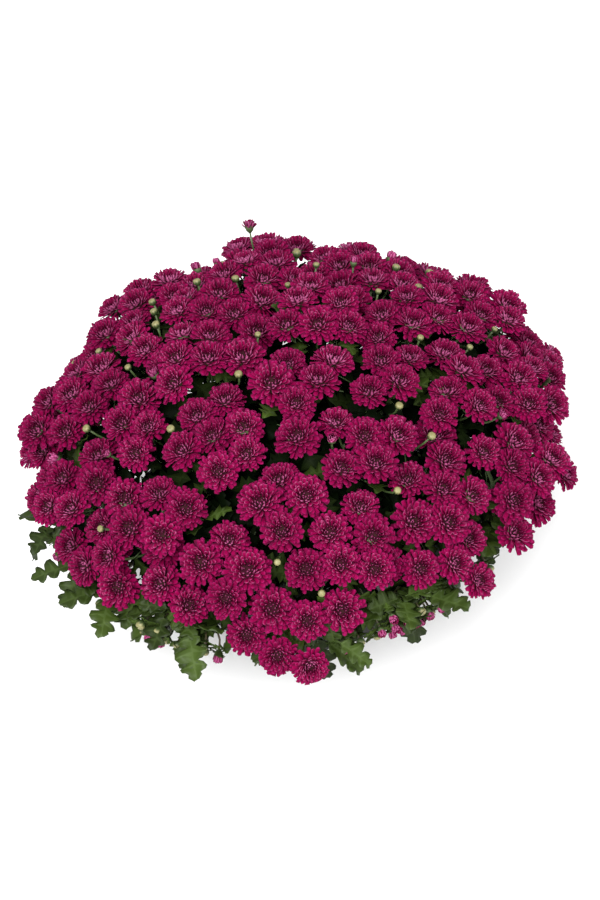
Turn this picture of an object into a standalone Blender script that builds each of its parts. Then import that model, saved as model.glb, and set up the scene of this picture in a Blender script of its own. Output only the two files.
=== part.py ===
"""Garden chrysanthemum in a pot, as named solids for a parts library.

Fourteen leafy stems stand in a pot of soil. Each forks into branches, and each branch carries a
spray of double blooms. The blooms of a spray touch and are one solid. Twigs low at the front bear
leaves alone. Units are metres, +Z is up, and the front of the bush faces -Y.
"""

import math
from dataclasses import dataclass
from dataclasses import replace

import bpy
import numpy as np

# Pot and soil
POT_HEIGHT = 0.170
POT_BASE_RADIUS = 0.116
POT_RIM_RADIUS = 0.140
POT_WALL = 0.0035
POT_FLOOR = 0.005
POT_SIDES = 24
RIM_BAND = 0.020
RIM_STEP = 0.003
POT_CHAMFER = 0.003
EDGE = 0.001
SOIL_LEVEL = 0.152
SOIL_FLAT_RADIUS = 0.100
SOIL_FALL = 0.004
SOIL_SIDES = 24
HOLE_DEPTH = 0.040
FIT_GAP = 0.0003

# Dome that the blooms lie on
DOME_RADIUS = 0.252
DOME_HEIGHT = 0.141
DOME_DROP = 0.080
DOME_WAIST = 0.178
DOME_LEAN = 0.035
DOME_WAVE = 0.014
DOME_WAVE_TURN = 0.6
LOW_EDGE = math.radians(81)
LOW_EDGE_WAVE = math.radians(4)
LOW_EDGE_DIPS = 5
LOW_EDGE_TURN = 1.0
LOW_SPARSENESS = 0.50
FRONT_CROWDING = 0.20

# Blooms
BLOOM_COUNT = 238
SPRAY_COUNT = 42
BLOOM_RADII = (0.0188, 0.0218)
BLOOM_GAP = 0.0008
BLOOM_FLATNESS = 1.65
LINK_LEAST = 0.78
LINK_MOST = 0.80
SPRAY_CURVE = 0.150
SPRAY_LIFT = 0.009
SPREADING = 0.06
SPREAD_REACH = 1.35
UPTURN = 0.40
SETTLING_STEPS = 700
NUDGE = 0.3
PULL = 0.5
SCATTER = 0.005
PETALS = 6
TIP_VARIATION = 0.05
CROWN_VARIATION = 0.06
TIP_HEIGHT = 0.10
VALLEY_REACH = 0.76
VALLEY_HEIGHT = 0.06
CROWN_REACH = 0.52
CROWN_HEIGHT = 0.60
HEART_HEIGHT = 0.42
CALYX_DEPTH = 0.42

# Stems
SHOOT_COUNT = 14
STEM_SIDES = 4
BRANCH_SIDES = 3
STEM_RADIUS = 0.0034
MAIN_RADII = (STEM_RADIUS, 0.0024, 0.0021, 0.0014)
BRANCH_RADII = (0.0025, 0.0024, 0.0022, 0.0015)
STALK_RADII = (0.0015, 0.0014)
SIDE_STALKS = 1
STALK_SPACING = 0.007
STALK_ROOM = 0.003
HUB_DEPTH = 0.048
FOOT_SHARE = 0.34
FORK_SHARE = 0.56
FORK_CLEARANCE = 0.198
STEM_EXPOSED = 0.004
STEM_BEND = (0.38, 0.62)
BRANCH_ARCH = 0.10

# Leaves and buds
LEAF_COUNT = 14
LOW_HUB = 0.200
LEAF_LENGTHS = (0.040, 0.052)
LEAF_THICKNESS = 0.0009
LEAF_ROOM = 0.0065
LEAF_TRIES = 160
LOW_LIMITS = (1.5, (-0.9, 0.0))
HIGH_LIMITS = (math.pi, (-0.2, 0.5))
LEAF_STEM_ROOM = 0.004
LEAF_ROOT = 0.0015
BLOOM_ROOM = 0.0025
BUD_COUNT = 6
BUD_RADIUS = 0.0048
BUD_SIDES = 5
BUD_RINGS = ((0.80, -0.45), (0.75, 0.55))
BUD_LIFT = 0.004
BUD_LOWEST = 1.3
BUD_TRIALS = 4000
BUD_SPACING = 0.060

# Twigs with leaves alone at the lower front, on both sides of one hanging spray
LEAFY_EDGE = math.radians(83)
LEAFY_SPAN = (math.radians(-165), math.radians(-58))
HANGING_SPAN = (math.radians(-104), math.radians(-86))
TWIG_SHARE = 0.72
TWIG_RADII = (0.0016, 0.0012)
TWIG_LEAVES = 3
TWIG_TURN = 1.2
TWIG_SLOPE = (-0.9, 0.3)

GOLDEN_ANGLE = math.pi * (3 - math.sqrt(5))
UP = np.array([0.0, 0.0, 1.0])
SEED = 18

# Half of a lobed leaf's outline: share of its length, and of its length to one side
LEAF_HALF = ((0.40, 0.28), (0.53, 0.15), (0.76, 0.33))
LEAF_BASE = (0.0, 0.0)
LEAF_TIP = (1.0, 0.0)
LEAF_MIDDLE = (0.55, 0.0)


@dataclass
class Bush:
    """Where everything grows: blooms, their sprays, and the stems and twigs under them."""

    blooms: np.ndarray
    normals: np.ndarray
    radii: np.ndarray
    spray: np.ndarray
    links: np.ndarray
    hubs: np.ndarray
    shoot: np.ndarray
    forks: np.ndarray
    feet: np.ndarray
    twigs: np.ndarray | None = None
    twig_shoot: np.ndarray | None = None


def unit(vectors):
    return vectors / np.linalg.norm(vectors, axis=-1, keepdims=True)


def dome_radius(azimuth):
    """Radius of the bush at its waist, longer from back right to front left."""
    wave = DOME_LEAN * np.sin(2 * azimuth) + DOME_WAVE * np.cos(3 * azimuth - DOME_WAVE_TURN)
    return DOME_RADIUS * (1 + wave)


def dome_rise(polar):
    return np.where(polar < math.pi / 2, DOME_HEIGHT, DOME_DROP)


def dome_point(polar, azimuth):
    """Point of the dome at an angle from straight up and an azimuth."""
    reach = dome_radius(azimuth) * np.sin(polar)
    height = DOME_WAIST + dome_rise(polar) * np.cos(polar)
    return np.stack([reach * np.cos(azimuth), reach * np.sin(azimuth), height], axis=-1)


def dome_angles(points):
    """(angle from straight up, azimuth) of the dome point in line with each point."""
    azimuth = np.arctan2(points[:, 1], points[:, 0])
    reach = np.hypot(points[:, 0], points[:, 1]) / dome_radius(azimuth)
    above = points[:, 2] - DOME_WAIST
    return np.arctan2(reach, above / np.where(above > 0, DOME_HEIGHT, DOME_DROP)), azimuth


def low_edge(azimuth):
    """Lowest angle of a spray's middle, which dips a few times round the bush."""
    return LOW_EDGE + LOW_EDGE_WAVE * np.cos(LOW_EDGE_DIPS * azimuth + LOW_EDGE_TURN)


def onto_dome(points):
    polar, azimuth = dome_angles(points)
    return dome_point(np.minimum(polar, low_edge(azimuth)), azimuth)


def dome_normals(points):
    polar, azimuth = dome_angles(points)
    across = dome_rise(polar) * np.sin(polar)
    up = dome_radius(azimuth) * np.cos(polar)
    return unit(np.stack([across * np.cos(azimuth), across * np.sin(azimuth), up], axis=-1))


def spread_points(count):
    """Points spread over the dome, each a golden angle on from the last. They are sparser at the
    foot, and denser at the front, which grew towards the light."""
    polar = np.linspace(0, LOW_EDGE, 400)
    slope = np.hypot(DOME_RADIUS * np.cos(polar), DOME_HEIGHT * np.sin(polar))
    weight = np.sin(polar) * slope * (1 - LOW_SPARSENESS * (polar / LOW_EDGE) ** 2)
    area = np.cumsum(weight)
    share = (np.arange(count) + 0.5) / count
    polar = np.interp(share, area / area[-1], polar)
    azimuth = GOLDEN_ANGLE * np.arange(count)
    azimuth = azimuth - FRONT_CROWDING * np.sin(polar) * np.sin(azimuth + math.pi / 2)
    return dome_point(polar, azimuth)


def nearest(points, centres):
    return np.linalg.norm(points[:, None] - centres[None], axis=-1).argmin(axis=1)


def middles(points, group, count):
    return np.array([points[group == g].mean(axis=0) for g in range(count)])


def grouped(points, count, centres, rounds=12):
    """Group of each point, whose centres start as given and move to their points' middle."""
    for _ in range(rounds):
        centres = middles(points, nearest(points, centres), count)
    return nearest(points, centres)


def spray_links(points, spray):
    """Pairs (bloom, neighbour nearer the middle) that tie each spray's blooms together."""
    links = []
    for g in range(SPRAY_COUNT):
        loose = list(np.flatnonzero(spray == g))
        middle = points[loose].mean(axis=0)
        loose.sort(key=lambda i: np.linalg.norm(points[i] - middle))
        joined = [loose.pop(0)]
        while loose:
            gaps = np.linalg.norm(points[loose][:, None] - points[joined][None], axis=-1)
            a, b = np.unravel_index(gaps.argmin(), gaps.shape)
            links.append((loose[a], joined[b]))
            joined.append(loose.pop(a))
    return np.array(links)


def on_caps(points, spray, lift):
    """Each spray's blooms drawn to a shallow cap that faces out and up, its middle on the dome."""
    centres = middles(points, spray, SPRAY_COUNT)
    homes = onto_dome(centres - lift[:, None] * dome_normals(centres))
    outward = dome_normals(homes)
    faces = unit((1 - UPTURN) * outward + UPTURN * UP)
    homes = homes + lift[:, None] * outward
    points = points + PULL * (homes - centres)[spray]
    offset = points - (centres + PULL * (homes - centres))[spray]
    height = (offset * faces[spray]).sum(axis=1)
    flat = offset - height[:, None] * faces[spray]
    spread = (flat**2).sum(axis=1)
    level = middles(spread[:, None], spray, SPRAY_COUNT)[spray, 0]
    wanted = (level - spread) / (2 * SPRAY_CURVE)
    points = points + PULL * (wanted - height)[:, None] * faces[spray]
    return points, unit(faces[spray] + flat / SPRAY_CURVE), faces


def settled(points, spray, radii, links, lift):
    """Blooms nudged until linked ones overlap and all others are a hair apart.

    The distance between two blooms counts their difference in height more than the way
    across, because a bloom is flatter than a ball.
    """
    count = len(points)
    linked = np.zeros((count, count), bool)
    linked[links[:, 0], links[:, 1]] = True
    linked |= linked.T
    same = spray[:, None] == spray[None]
    reach = radii[:, None] + radii[None]
    least = np.where(linked, LINK_LEAST * reach, reach + BLOOM_GAP)
    np.fill_diagonal(least, 0)
    most = np.where(linked, LINK_MOST * reach, np.inf)
    normals = dome_normals(points)
    for _ in range(SETTLING_STEPS):
        away = points[:, None] - points[None]
        facing = unit(normals[:, None] + normals[None])
        height = (away * facing).sum(axis=-1, keepdims=True)
        away = away + (BLOOM_FLATNESS - 1) * height * facing
        gap = np.linalg.norm(away, axis=-1) + np.eye(count)
        nudge = np.maximum(least - gap, 0) - np.maximum(gap - most, 0)
        nudge = nudge + np.where(same, 0, SPREADING * np.maximum(SPREAD_REACH * reach - gap, 0))
        points = points + NUDGE * ((nudge / gap)[:, :, None] * away).sum(axis=1)
        points, normals, faces = on_caps(points, spray, lift)
    return points, normals, faces


def in_leafy_foot(points):
    """Whether each point is low at the front, where twigs bear leaves in place of blooms."""
    polar, azimuth = dome_angles(points)
    front = (azimuth > LEAFY_SPAN[0]) & (azimuth < LEAFY_SPAN[1])
    hanging = (azimuth > HANGING_SPAN[0]) & (azimuth < HANGING_SPAN[1])
    return (polar > LEAFY_EDGE) & front & ~hanging


def with_leafy_foot(bush):
    """The bush with a twig in place of each low front bloom, from its hub towards the bloom."""
    bare = in_leafy_foot(bush.blooms)
    kept = ~bare
    number = np.cumsum(kept) - 1
    roots = bush.hubs[bush.spray[bare]]
    tips = roots + TWIG_SHARE * (bush.blooms[bare] - roots)
    return replace(
        bush,
        blooms=bush.blooms[kept],
        normals=bush.normals[kept],
        radii=bush.radii[kept],
        spray=bush.spray[kept],
        links=number[bush.links[kept[bush.links].all(axis=1)]],
        twigs=np.stack([roots, tips], axis=1),
        twig_shoot=bush.shoot[bush.spray[bare]],
    )


def lay_out_bush():
    """Blooms on the dome, a hub under each spray, and stems whose feet and forks copy the
    pattern of their hubs at a smaller size, so that no two cross."""
    rng = np.random.RandomState(SEED)
    blooms = onto_dome(spread_points(BLOOM_COUNT) + rng.normal(0, SCATTER, (BLOOM_COUNT, 3)))
    spray = grouped(blooms, SPRAY_COUNT, spread_points(SPRAY_COUNT))
    radii = rng.uniform(*BLOOM_RADII, BLOOM_COUNT)
    lift = rng.uniform(-SPRAY_LIFT, SPRAY_LIFT, SPRAY_COUNT)
    links = spray_links(blooms, spray)
    blooms, normals, faces = settled(blooms, spray, radii, links, lift)
    hubs = middles(blooms, spray, SPRAY_COUNT) - HUB_DEPTH * faces
    shoot = grouped(hubs, SHOOT_COUNT, spread_points(SHOOT_COUNT))
    heads = middles(hubs, shoot, SHOOT_COUNT)
    root = np.array([0.0, 0.0, SOIL_LEVEL])
    forks = root + FORK_SHARE * (heads - root)
    forks[:, 2] = np.maximum(forks[:, 2], FORK_CLEARANCE)
    feet = root + FOOT_SHARE * (heads - root)
    feet[:, 2] = SOIL_LEVEL
    return Bush(blooms, normals, radii, spray, links, hubs, shoot, forks, feet)


def across(axis):
    """Two unit vectors square to an axis and to each other, turning left round it."""
    side = np.cross(axis, UP) if abs(axis[2]) < 0.9 else np.cross(axis, [1.0, 0.0, 0.0])
    side = unit(side)
    return side, np.cross(axis, side)


def tube(path, radii, sides, caps=None):
    """Closed tube along a path. Each ring lies square to the way, or to its own cap axis."""
    path = np.asarray(path, float)
    ways = unit(np.gradient(path, axis=0))
    if caps is not None:
        ways[-1] = caps
    side, _ = across(ways[0])
    verts = []
    for point, way, radius in zip(path, ways, radii):
        side = unit(side - (side @ way) * way)
        up = np.cross(way, side)
        for k in range(sides):
            angle = 2 * math.pi * k / sides
            verts.append(point + radius * (math.cos(angle) * side + math.sin(angle) * up))
    faces = [tuple(reversed(range(sides)))]
    for ring in range(len(path) - 1):
        for k in range(sides):
            a = ring * sides + k
            b = ring * sides + (k + 1) % sides
            faces.append((a, b, b + sides, a + sides))
    last = (len(path) - 1) * sides
    faces.append(tuple(range(last, last + sides)))
    return np.array(verts), faces


def bloom_shape(centre, normal, radius, towards, rng):
    """Double bloom: a ring of petals with notches between, and a raised crown of a second ring
    that stands over the notches, round a dimpled heart."""
    ahead = unit(towards - (towards @ normal) * normal)
    side = np.cross(normal, ahead)
    turn = 2 * math.pi / PETALS
    verts = []
    for k in range(PETALS):
        reach = 1 - TIP_VARIATION * rng.uniform(0, 1) * (k > 0)
        verts.append((reach, k * turn, TIP_HEIGHT))
    for k in range(PETALS):
        verts.append((VALLEY_REACH, (k + 0.5) * turn, VALLEY_HEIGHT))
    for k in range(PETALS):
        height = CROWN_HEIGHT + CROWN_VARIATION * rng.uniform(-1, 1)
        verts.append((CROWN_REACH, (k + 0.5) * turn, height))
    verts.append((0, 0, HEART_HEIGHT))
    verts.append((0, 0, -CALYX_DEPTH))
    placed = [
        centre + radius * (r * math.cos(a) * ahead + r * math.sin(a) * side + h * normal)
        for r, a, h in verts
    ]
    return np.array(placed), bloom_faces()


def bloom_faces():
    heart, calyx = 3 * PETALS, 3 * PETALS + 1
    faces = []
    for k in range(PETALS):
        before = (k - 1) % PETALS
        tip, valley, last = k, PETALS + k, PETALS + before
        crown, last_crown = 2 * PETALS + k, 2 * PETALS + before
        faces += [(tip, valley, crown), (tip, last_crown, last), (tip, crown, last_crown)]
        faces += [(heart, last_crown, crown), (calyx, valley, tip), (calyx, tip, last)]
    return faces


def leaf_outline():
    right = [(u, -v) for u, v in LEAF_HALF]
    left = [(u, v) for u, v in reversed(LEAF_HALF)]
    return np.array([LEAF_BASE] + right + [LEAF_TIP] + left)


def leaf_surface(flat, base, along, side, length, droop, fold):
    """Points of a leaf that folds up along its midrib and bends down towards its tip."""
    u, v = flat[:, 0], flat[:, 1]
    up = np.cross(along, side)
    rise = length * (fold * np.abs(v) - droop * u**2)
    return base + length * (u[:, None] * along + v[:, None] * side) + rise[:, None] * up


def leaf_shape(base, along, side, length, droop, fold):
    """Lobed blade with flat edges. Both faces are split alike from the middle of the leaf."""
    outline = np.vstack([leaf_outline(), LEAF_MIDDLE])
    top = leaf_surface(outline, base, along, side, length, droop, fold)
    half = 0.5 * LEAF_THICKNESS * np.cross(along, side)
    count = len(outline)
    rim = count - 1
    faces = []
    for k in range(rim):
        after = (k + 1) % rim
        faces.append((rim, k, after))
        faces.append((count + rim, count + after, count + k))
        faces.append((k, count + k, count + after))
        faces.append((k, count + after, after))
    return np.vstack([top + half, top - half]), faces


def bud_shape(centre, normal):
    """Round bud, narrower at its foot and its blunt top than a ball would be."""
    side, up = across(normal)
    verts = []
    for radius, height in BUD_RINGS:
        for k in range(BUD_SIDES):
            angle = 2 * math.pi * k / BUD_SIDES
            ring = radius * (math.cos(angle) * side + math.sin(angle) * up)
            verts.append(centre + BUD_RADIUS * (ring + height * normal))
    faces = [tuple(reversed(range(BUD_SIDES))), tuple(range(BUD_SIDES, 2 * BUD_SIDES))]
    for k in range(BUD_SIDES):
        after = (k + 1) % BUD_SIDES
        faces.append((k, after, BUD_SIDES + after, BUD_SIDES + k))
    return np.array(verts), faces


def branch_path(bush, spray):
    """Branch from its main stem to its hub, arched upwards, and on to its middle bloom."""
    shoot = bush.shoot[spray]
    fork = bush.forks[shoot]
    hub = bush.hubs[spray]
    rank = list(np.flatnonzero(bush.shoot == shoot)).index(spray)
    below = fork - rank * STALK_SPACING * unit(fork - stem_path(bush, shoot)[-2])
    middle = 0.5 * (below + hub) + BRANCH_ARCH * np.linalg.norm(hub - below) * UP
    return np.array([below, middle, hub, stalk_end(bush, middle_bloom(bush, spray))])


def stem_path(bush, shoot):
    """Main stem from inside its hole in the soil, straight up and then leaning to its fork."""
    foot, fork = bush.feet[shoot], bush.forks[shoot]
    bottom = foot - (HOLE_DEPTH - FIT_GAP) * UP
    middle = foot + (fork - foot) * [STEM_BEND[0], STEM_BEND[0], STEM_BEND[1]]
    return np.array([bottom, foot + STEM_EXPOSED * UP, middle, fork])


def stalk_end(bush, bloom):
    """Top of the stalk under a bloom, a hair below its calyx."""
    depth = CALYX_DEPTH * bush.radii[bloom] + FIT_GAP
    return bush.blooms[bloom] - depth * bush.normals[bloom]


def stalk_room(bush, root, bloom):
    """How clear a stalk from a root to a bloom is of other sprays: over one is clear."""
    line = sampled(np.array([root, stalk_end(bush, bloom)]))
    return bloom_nearness(bush, line, STALK_ROOM, bush.spray != bush.spray[bloom]).min()


def middle_bloom(bush, spray):
    """Bloom nearest the middle of its spray that the branch can run on to."""
    members = np.flatnonzero(bush.spray == spray)
    middle = bush.blooms[members].mean(axis=0)
    order = members[np.linalg.norm(bush.blooms[members] - middle, axis=1).argsort()]
    room = np.array([stalk_room(bush, bush.hubs[spray], i) for i in order])
    return order[np.argmax(room > 1)] if (room > 1).any() else order[room.argmax()]


def side_stalks(bush, spray):
    """(bloom, root) of the modelled side stalks of a spray. They leave the branch one below the
    other, for blooms far from each other whose stalk passes clear of the other sprays."""
    path = branch_path(bush, spray)
    chosen = [middle_bloom(bush, spray)]
    stalks = []
    left = [i for i in np.flatnonzero(bush.spray == spray) if i not in chosen]
    while left and len(stalks) < SIDE_STALKS:
        spread = np.linalg.norm(bush.blooms[left][:, None] - bush.blooms[chosen][None], axis=-1)
        bloom = left.pop(int(spread.min(axis=1).argmax()))
        root = path[2] - len(stalks) * STALK_SPACING * unit(path[2] - path[1])
        if stalk_room(bush, root, bloom) > 1:
            chosen.append(bloom)
            stalks.append((bloom, root))
    return stalks


def sampled(path, step=0.004):
    """Points along a path, a few millimetres apart."""
    found = [path[:1]]
    for a, b in zip(path[:-1], path[1:]):
        count = max(2, int(np.linalg.norm(b - a) / step))
        found.append(a + np.linspace(0, 1, count + 1)[1:, None] * (b - a))
    return np.vstack(found)


def bloom_nearness(bush, points, margin, which=slice(None)):
    """Distance of each point from the nearest bloom, as a share of the way to its surface and a
    margin, with the bloom taken as a flat ball. Inside it the share is under one."""
    radii = bush.radii[which]
    normals = bush.normals[which]
    away = points[:, None] - bush.blooms[which][None]
    height = (away * normals[None]).sum(axis=-1) - 0.10 * radii
    across_way = np.sqrt(np.maximum((away**2).sum(axis=-1) - height**2, 0))
    wide = radii + margin
    thick = radii / BLOOM_FLATNESS + margin
    return np.hypot(across_way / wide, height / thick).min(axis=1)


def inside_bloom(bush, points, margin):
    return bloom_nearness(bush, points, margin) < 1


def near(points, others, distance):
    if len(points) == 0 or len(others) == 0:
        return False
    gaps = np.linalg.norm(points[:, None] - others[None], axis=-1)
    return bool((gaps < distance).any())


def in_pot(points, margin):
    reach = np.hypot(points[:, 0], points[:, 1])
    return bool(((reach < POT_RIM_RADIUS + margin) & (points[:, 2] < POT_HEIGHT + margin)).any())


def leaf_samples():
    """Grid of points over the blade, to test whether a leaf is clear of everything."""
    u, v = np.meshgrid(np.linspace(0.2, 1.0, 9), np.linspace(-0.34, 0.34, 7))
    half = np.interp(u.ravel(), [0.0, 0.42, 0.72, 1.0], [0.03, 0.30, 0.34, 0.03])
    flat = np.stack([u.ravel(), v.ravel()], axis=1)
    return flat[np.abs(flat[:, 1]) <= half]


def grow_buds(bush, stalks, rng):
    """Buds in the widest gaps between blooms, each with the hub its stalk grows from."""
    polar = np.arccos(rng.uniform(math.cos(BUD_LOWEST), 1, BUD_TRIALS))
    spots = dome_point(polar, rng.uniform(-math.pi, math.pi, BUD_TRIALS))
    normals = dome_normals(spots)
    spots = spots + BUD_LIFT * normals
    gaps = np.linalg.norm(spots[:, None] - bush.blooms[None], axis=-1) - bush.radii
    order = np.argsort(-gaps.min(axis=1))
    buds = []
    for i in order:
        hub = int(nearest(spots[i : i + 1], bush.hubs)[0])
        if any(np.linalg.norm(spots[i] - bud[0]) < BUD_SPACING for bud in buds):
            continue
        line = sampled(np.array([bush.hubs[hub], spots[i]]))[2:]
        others = np.vstack([path for owner, path in stalks if owner != bush.shoot[hub]])
        if inside_bloom(bush, line, BLOOM_ROOM).any() or near(line, others, LEAF_ROOM):
            continue
        buds.append((spots[i], normals[i], hub))
        if len(buds) == BUD_COUNT:
            break
    return buds


def grow_leaves(bush, stalks, rng):
    """Leaves on twigs and branches, each tried at seeded angles until it is clear of all but its
    own stem."""
    flat = leaf_samples()
    leaves = []
    samples = []
    for twig, shoot in zip(bush.twigs, bush.twig_shoot):
        for _ in range(TWIG_LEAVES):
            limits = (TWIG_TURN, TWIG_SLOPE)
            leaf = try_leaf(bush, sampled(twig), shoot, limits, stalks, samples, flat, rng)
            if leaf is not None:
                leaves.append((int(shoot), leaf))
    order = list(np.argsort(bush.hubs[:, 2]))
    low = [spray for spray in order if bush.hubs[spray][2] < LOW_HUB]
    on_twigs = len(leaves)
    while len(leaves) < on_twigs + LEAF_COUNT:
        before = len(leaves)
        for spray in low + order:
            limits = LOW_LIMITS if spray in low else HIGH_LIMITS
            path = sampled(branch_path(bush, spray)[:3])
            shoot = bush.shoot[spray]
            leaf = try_leaf(bush, path, shoot, limits, stalks, samples, flat, rng)
            if leaf is not None and len(leaves) < on_twigs + LEAF_COUNT:
                leaves.append((int(shoot), leaf))
        if len(leaves) == before:
            break
    return leaves


def try_leaf(bush, path, shoot, limits, stalks, samples, flat, rng):
    """A clear leaf on a path. Its limits are the most it turns from straight out, and its slope."""
    others = np.vstack([line for owner, line in stalks if owner != shoot])
    own = np.vstack([line for owner, line in stalks if owner == shoot])
    outward = unit(path[-1] * [1, 1, 0])
    widest, slopes = limits
    for _ in range(LEAF_TRIES):
        base = path[int(rng.uniform(0.35, 1.0) * (len(path) - 1))]
        turn = rng.uniform(-widest, widest)
        slope = rng.uniform(*slopes)
        heading = math.cos(turn) * outward + math.sin(turn) * np.cross(UP, outward)
        along = unit(heading + slope * UP)
        side = unit(np.cross(UP, along) + rng.uniform(-0.35, 0.35) * UP)
        side = unit(side - (side @ along) * along)
        length = rng.uniform(*LEAF_LENGTHS)
        shape = (base, along, side, length, rng.uniform(0.05, 0.30), rng.uniform(0.10, 0.35))
        points = leaf_surface(flat, *shape)
        outer = points[np.linalg.norm(points - base, axis=1) > 0.35 * length]
        if inside_bloom(bush, points, BLOOM_ROOM).any() or in_pot(points, LEAF_STEM_ROOM):
            continue
        if near(points, others, LEAF_ROOM) or near(outer, own, LEAF_STEM_ROOM):
            continue
        if any(near(points, made, LEAF_ROOM) for made in samples):
            continue
        samples.append(points)
        return shape
    return None


def add_object(name, shape, collection=None):
    verts, faces = shape
    mesh = bpy.data.meshes.new(name)
    mesh.from_pydata([tuple(v) for v in verts], [], faces)
    mesh.validate()
    made = bpy.data.objects.new(name, mesh)
    (collection or bpy.context.scene.collection).objects.link(made)
    return made


def boolean(base, others, operation):
    """Joins or cuts all of a list of shapes at once, and removes what it used."""
    tools = bpy.data.collections.new(base.name + "_tools")
    bpy.context.scene.collection.children.link(tools)
    for k, shape in enumerate(others):
        add_object(f"{base.name}_tool_{k}", shape, tools)
    modifier = base.modifiers.new("join", "BOOLEAN")
    modifier.operation = operation
    modifier.operand_type = "COLLECTION"
    modifier.collection = tools
    modifier.solver = "MANIFOLD"
    graph = bpy.context.evaluated_depsgraph_get()
    mesh = bpy.data.meshes.new_from_object(base.evaluated_get(graph))
    base.modifiers.clear()
    old = base.data
    base.data = mesh
    bpy.data.meshes.remove(old)
    for tool in list(tools.objects):
        data = tool.data
        bpy.data.objects.remove(tool)
        bpy.data.meshes.remove(data)
    bpy.data.collections.remove(tools)


def fused(name, shapes, finish):
    base = add_object(name, shapes[0])
    if len(shapes) > 1:
        boolean(base, shapes[1:], "UNION")
    base.data.materials.clear()
    base.data.materials.append(finish)
    return base


def finish_of(name, colour, roughness):
    made = bpy.data.materials.new(name)
    made.use_nodes = True
    shader = made.node_tree.nodes["Principled BSDF"]
    shader.inputs["Base Color"].default_value = (*colour, 1)
    shader.inputs["Roughness"].default_value = roughness
    shader.inputs["Metallic"].default_value = 0
    made.diffuse_color = (*colour, 1)
    return made


def lathe(profile, sides):
    """Solid of revolution about Z from a profile that starts and ends on the axis."""
    rings = profile[1:-1]
    verts = [(0, 0, profile[0][1])]
    for radius, height in rings:
        for k in range(sides):
            angle = 2 * math.pi * k / sides
            verts.append((radius * math.cos(angle), radius * math.sin(angle), height))
    verts.append((0, 0, profile[-1][1]))
    last = len(verts) - 1
    faces = []
    for k in range(sides):
        after = (k + 1) % sides
        faces.append((0, 1 + after, 1 + k))
        for ring in range(len(rings) - 1):
            a, b = 1 + ring * sides + k, 1 + ring * sides + after
            faces.append((a, b, b + sides, a + sides))
        top = 1 + (len(rings) - 1) * sides
        faces.append((last, top + k, top + after))
    return np.array(verts), faces


def wall_radius(height):
    """Outer radius of the pot's wall below its rim band."""
    share = height / POT_HEIGHT
    return POT_BASE_RADIUS + share * (POT_RIM_RADIUS - RIM_STEP - POT_BASE_RADIUS)


def build_pot(finish):
    """Tapered pot with a flat base, a thicker band under the rim and an open top."""
    band = POT_HEIGHT - RIM_BAND
    inner_top = wall_radius(POT_HEIGHT) - POT_WALL
    inner_floor = wall_radius(POT_FLOOR) - POT_WALL
    profile = (
        (0, 0),
        (POT_BASE_RADIUS - POT_CHAMFER, 0),
        (POT_BASE_RADIUS, POT_CHAMFER),
        (wall_radius(band), band),
        (POT_RIM_RADIUS, band + 2 * EDGE),
        (POT_RIM_RADIUS, POT_HEIGHT - EDGE),
        (POT_RIM_RADIUS - EDGE, POT_HEIGHT),
        (inner_top, POT_HEIGHT),
        (inner_floor, POT_FLOOR),
        (0, POT_FLOOR),
    )
    return fused("pot", [lathe(profile, POT_SIDES)], finish)


def build_soil(bush, finish):
    """Soil that fills the pot to below its rim, a little heaped, with a hole for each stem."""
    low = POT_FLOOR + FIT_GAP
    gap = POT_WALL + 2 * FIT_GAP
    profile = (
        (0, low),
        (wall_radius(low) - gap, low),
        (wall_radius(SOIL_LEVEL) - gap, SOIL_LEVEL - SOIL_FALL),
        (SOIL_FLAT_RADIUS, SOIL_LEVEL),
        (0, SOIL_LEVEL + EDGE),
    )
    soil = add_object("soil", lathe(profile, SOIL_SIDES))
    wide = STEM_RADIUS + FIT_GAP / math.cos(math.pi / STEM_SIDES)
    holes = []
    for foot in bush.feet:
        path = np.array([foot - HOLE_DEPTH * UP, foot + 0.01 * UP])
        holes.append(tube(path, (wide, wide), STEM_SIDES))
    boolean(soil, holes, "DIFFERENCE")
    soil.data.materials.clear()
    soil.data.materials.append(finish)
    return soil


def stalk_lines(bush):
    """(shoot, points) along every stem, branch and stalk, to keep leaves clear of them."""
    lines = [(shoot, sampled(stem_path(bush, shoot))) for shoot in range(SHOOT_COUNT)]
    for spray in range(SPRAY_COUNT):
        shoot = bush.shoot[spray]
        lines.append((shoot, sampled(branch_path(bush, spray))))
        for bloom in np.flatnonzero(bush.spray == spray):
            lines.append((shoot, sampled(np.array([bush.hubs[spray], stalk_end(bush, bloom)]))))
    lines += [(shoot, sampled(twig)) for twig, shoot in zip(bush.twigs, bush.twig_shoot)]
    return lines


def stem_shapes(bush, shoot, leaves, buds):
    """Every shape of one leafy stem, the main stem first. It runs on into its first branch."""
    own = np.flatnonzero(bush.shoot == shoot)
    path = np.vstack([stem_path(bush, shoot), branch_path(bush, own[0])[1:]])
    wide = np.interp(np.arange(len(path)), [1, 4, 5, 6], MAIN_RADII)
    shapes = [tube(path, wide, STEM_SIDES, caps=bush.normals[middle_bloom(bush, own[0])])]
    for spray in own:
        if spray != own[0]:
            cap = bush.normals[middle_bloom(bush, spray)]
            shapes.append(tube(branch_path(bush, spray), BRANCH_RADII, BRANCH_SIDES, caps=cap))
        for bloom, root in side_stalks(bush, spray):
            end = stalk_end(bush, bloom)
            shapes.append(tube((root, end), STALK_RADII, 3, caps=bush.normals[bloom]))
    for twig in bush.twigs[bush.twig_shoot == shoot]:
        shapes.append(tube(twig, TWIG_RADII, 3))
    for centre, normal, hub in buds:
        if bush.shoot[hub] == shoot:
            shapes.append(tube((bush.hubs[hub], centre), STALK_RADII, 3))
            shapes.append(bud_shape(centre, normal))
    for owner, leaf in leaves:
        if owner == shoot:
            base, along, *rest = leaf
            shapes.append(leaf_shape(base - LEAF_ROOT * along, along, *rest))
    return shapes


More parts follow.
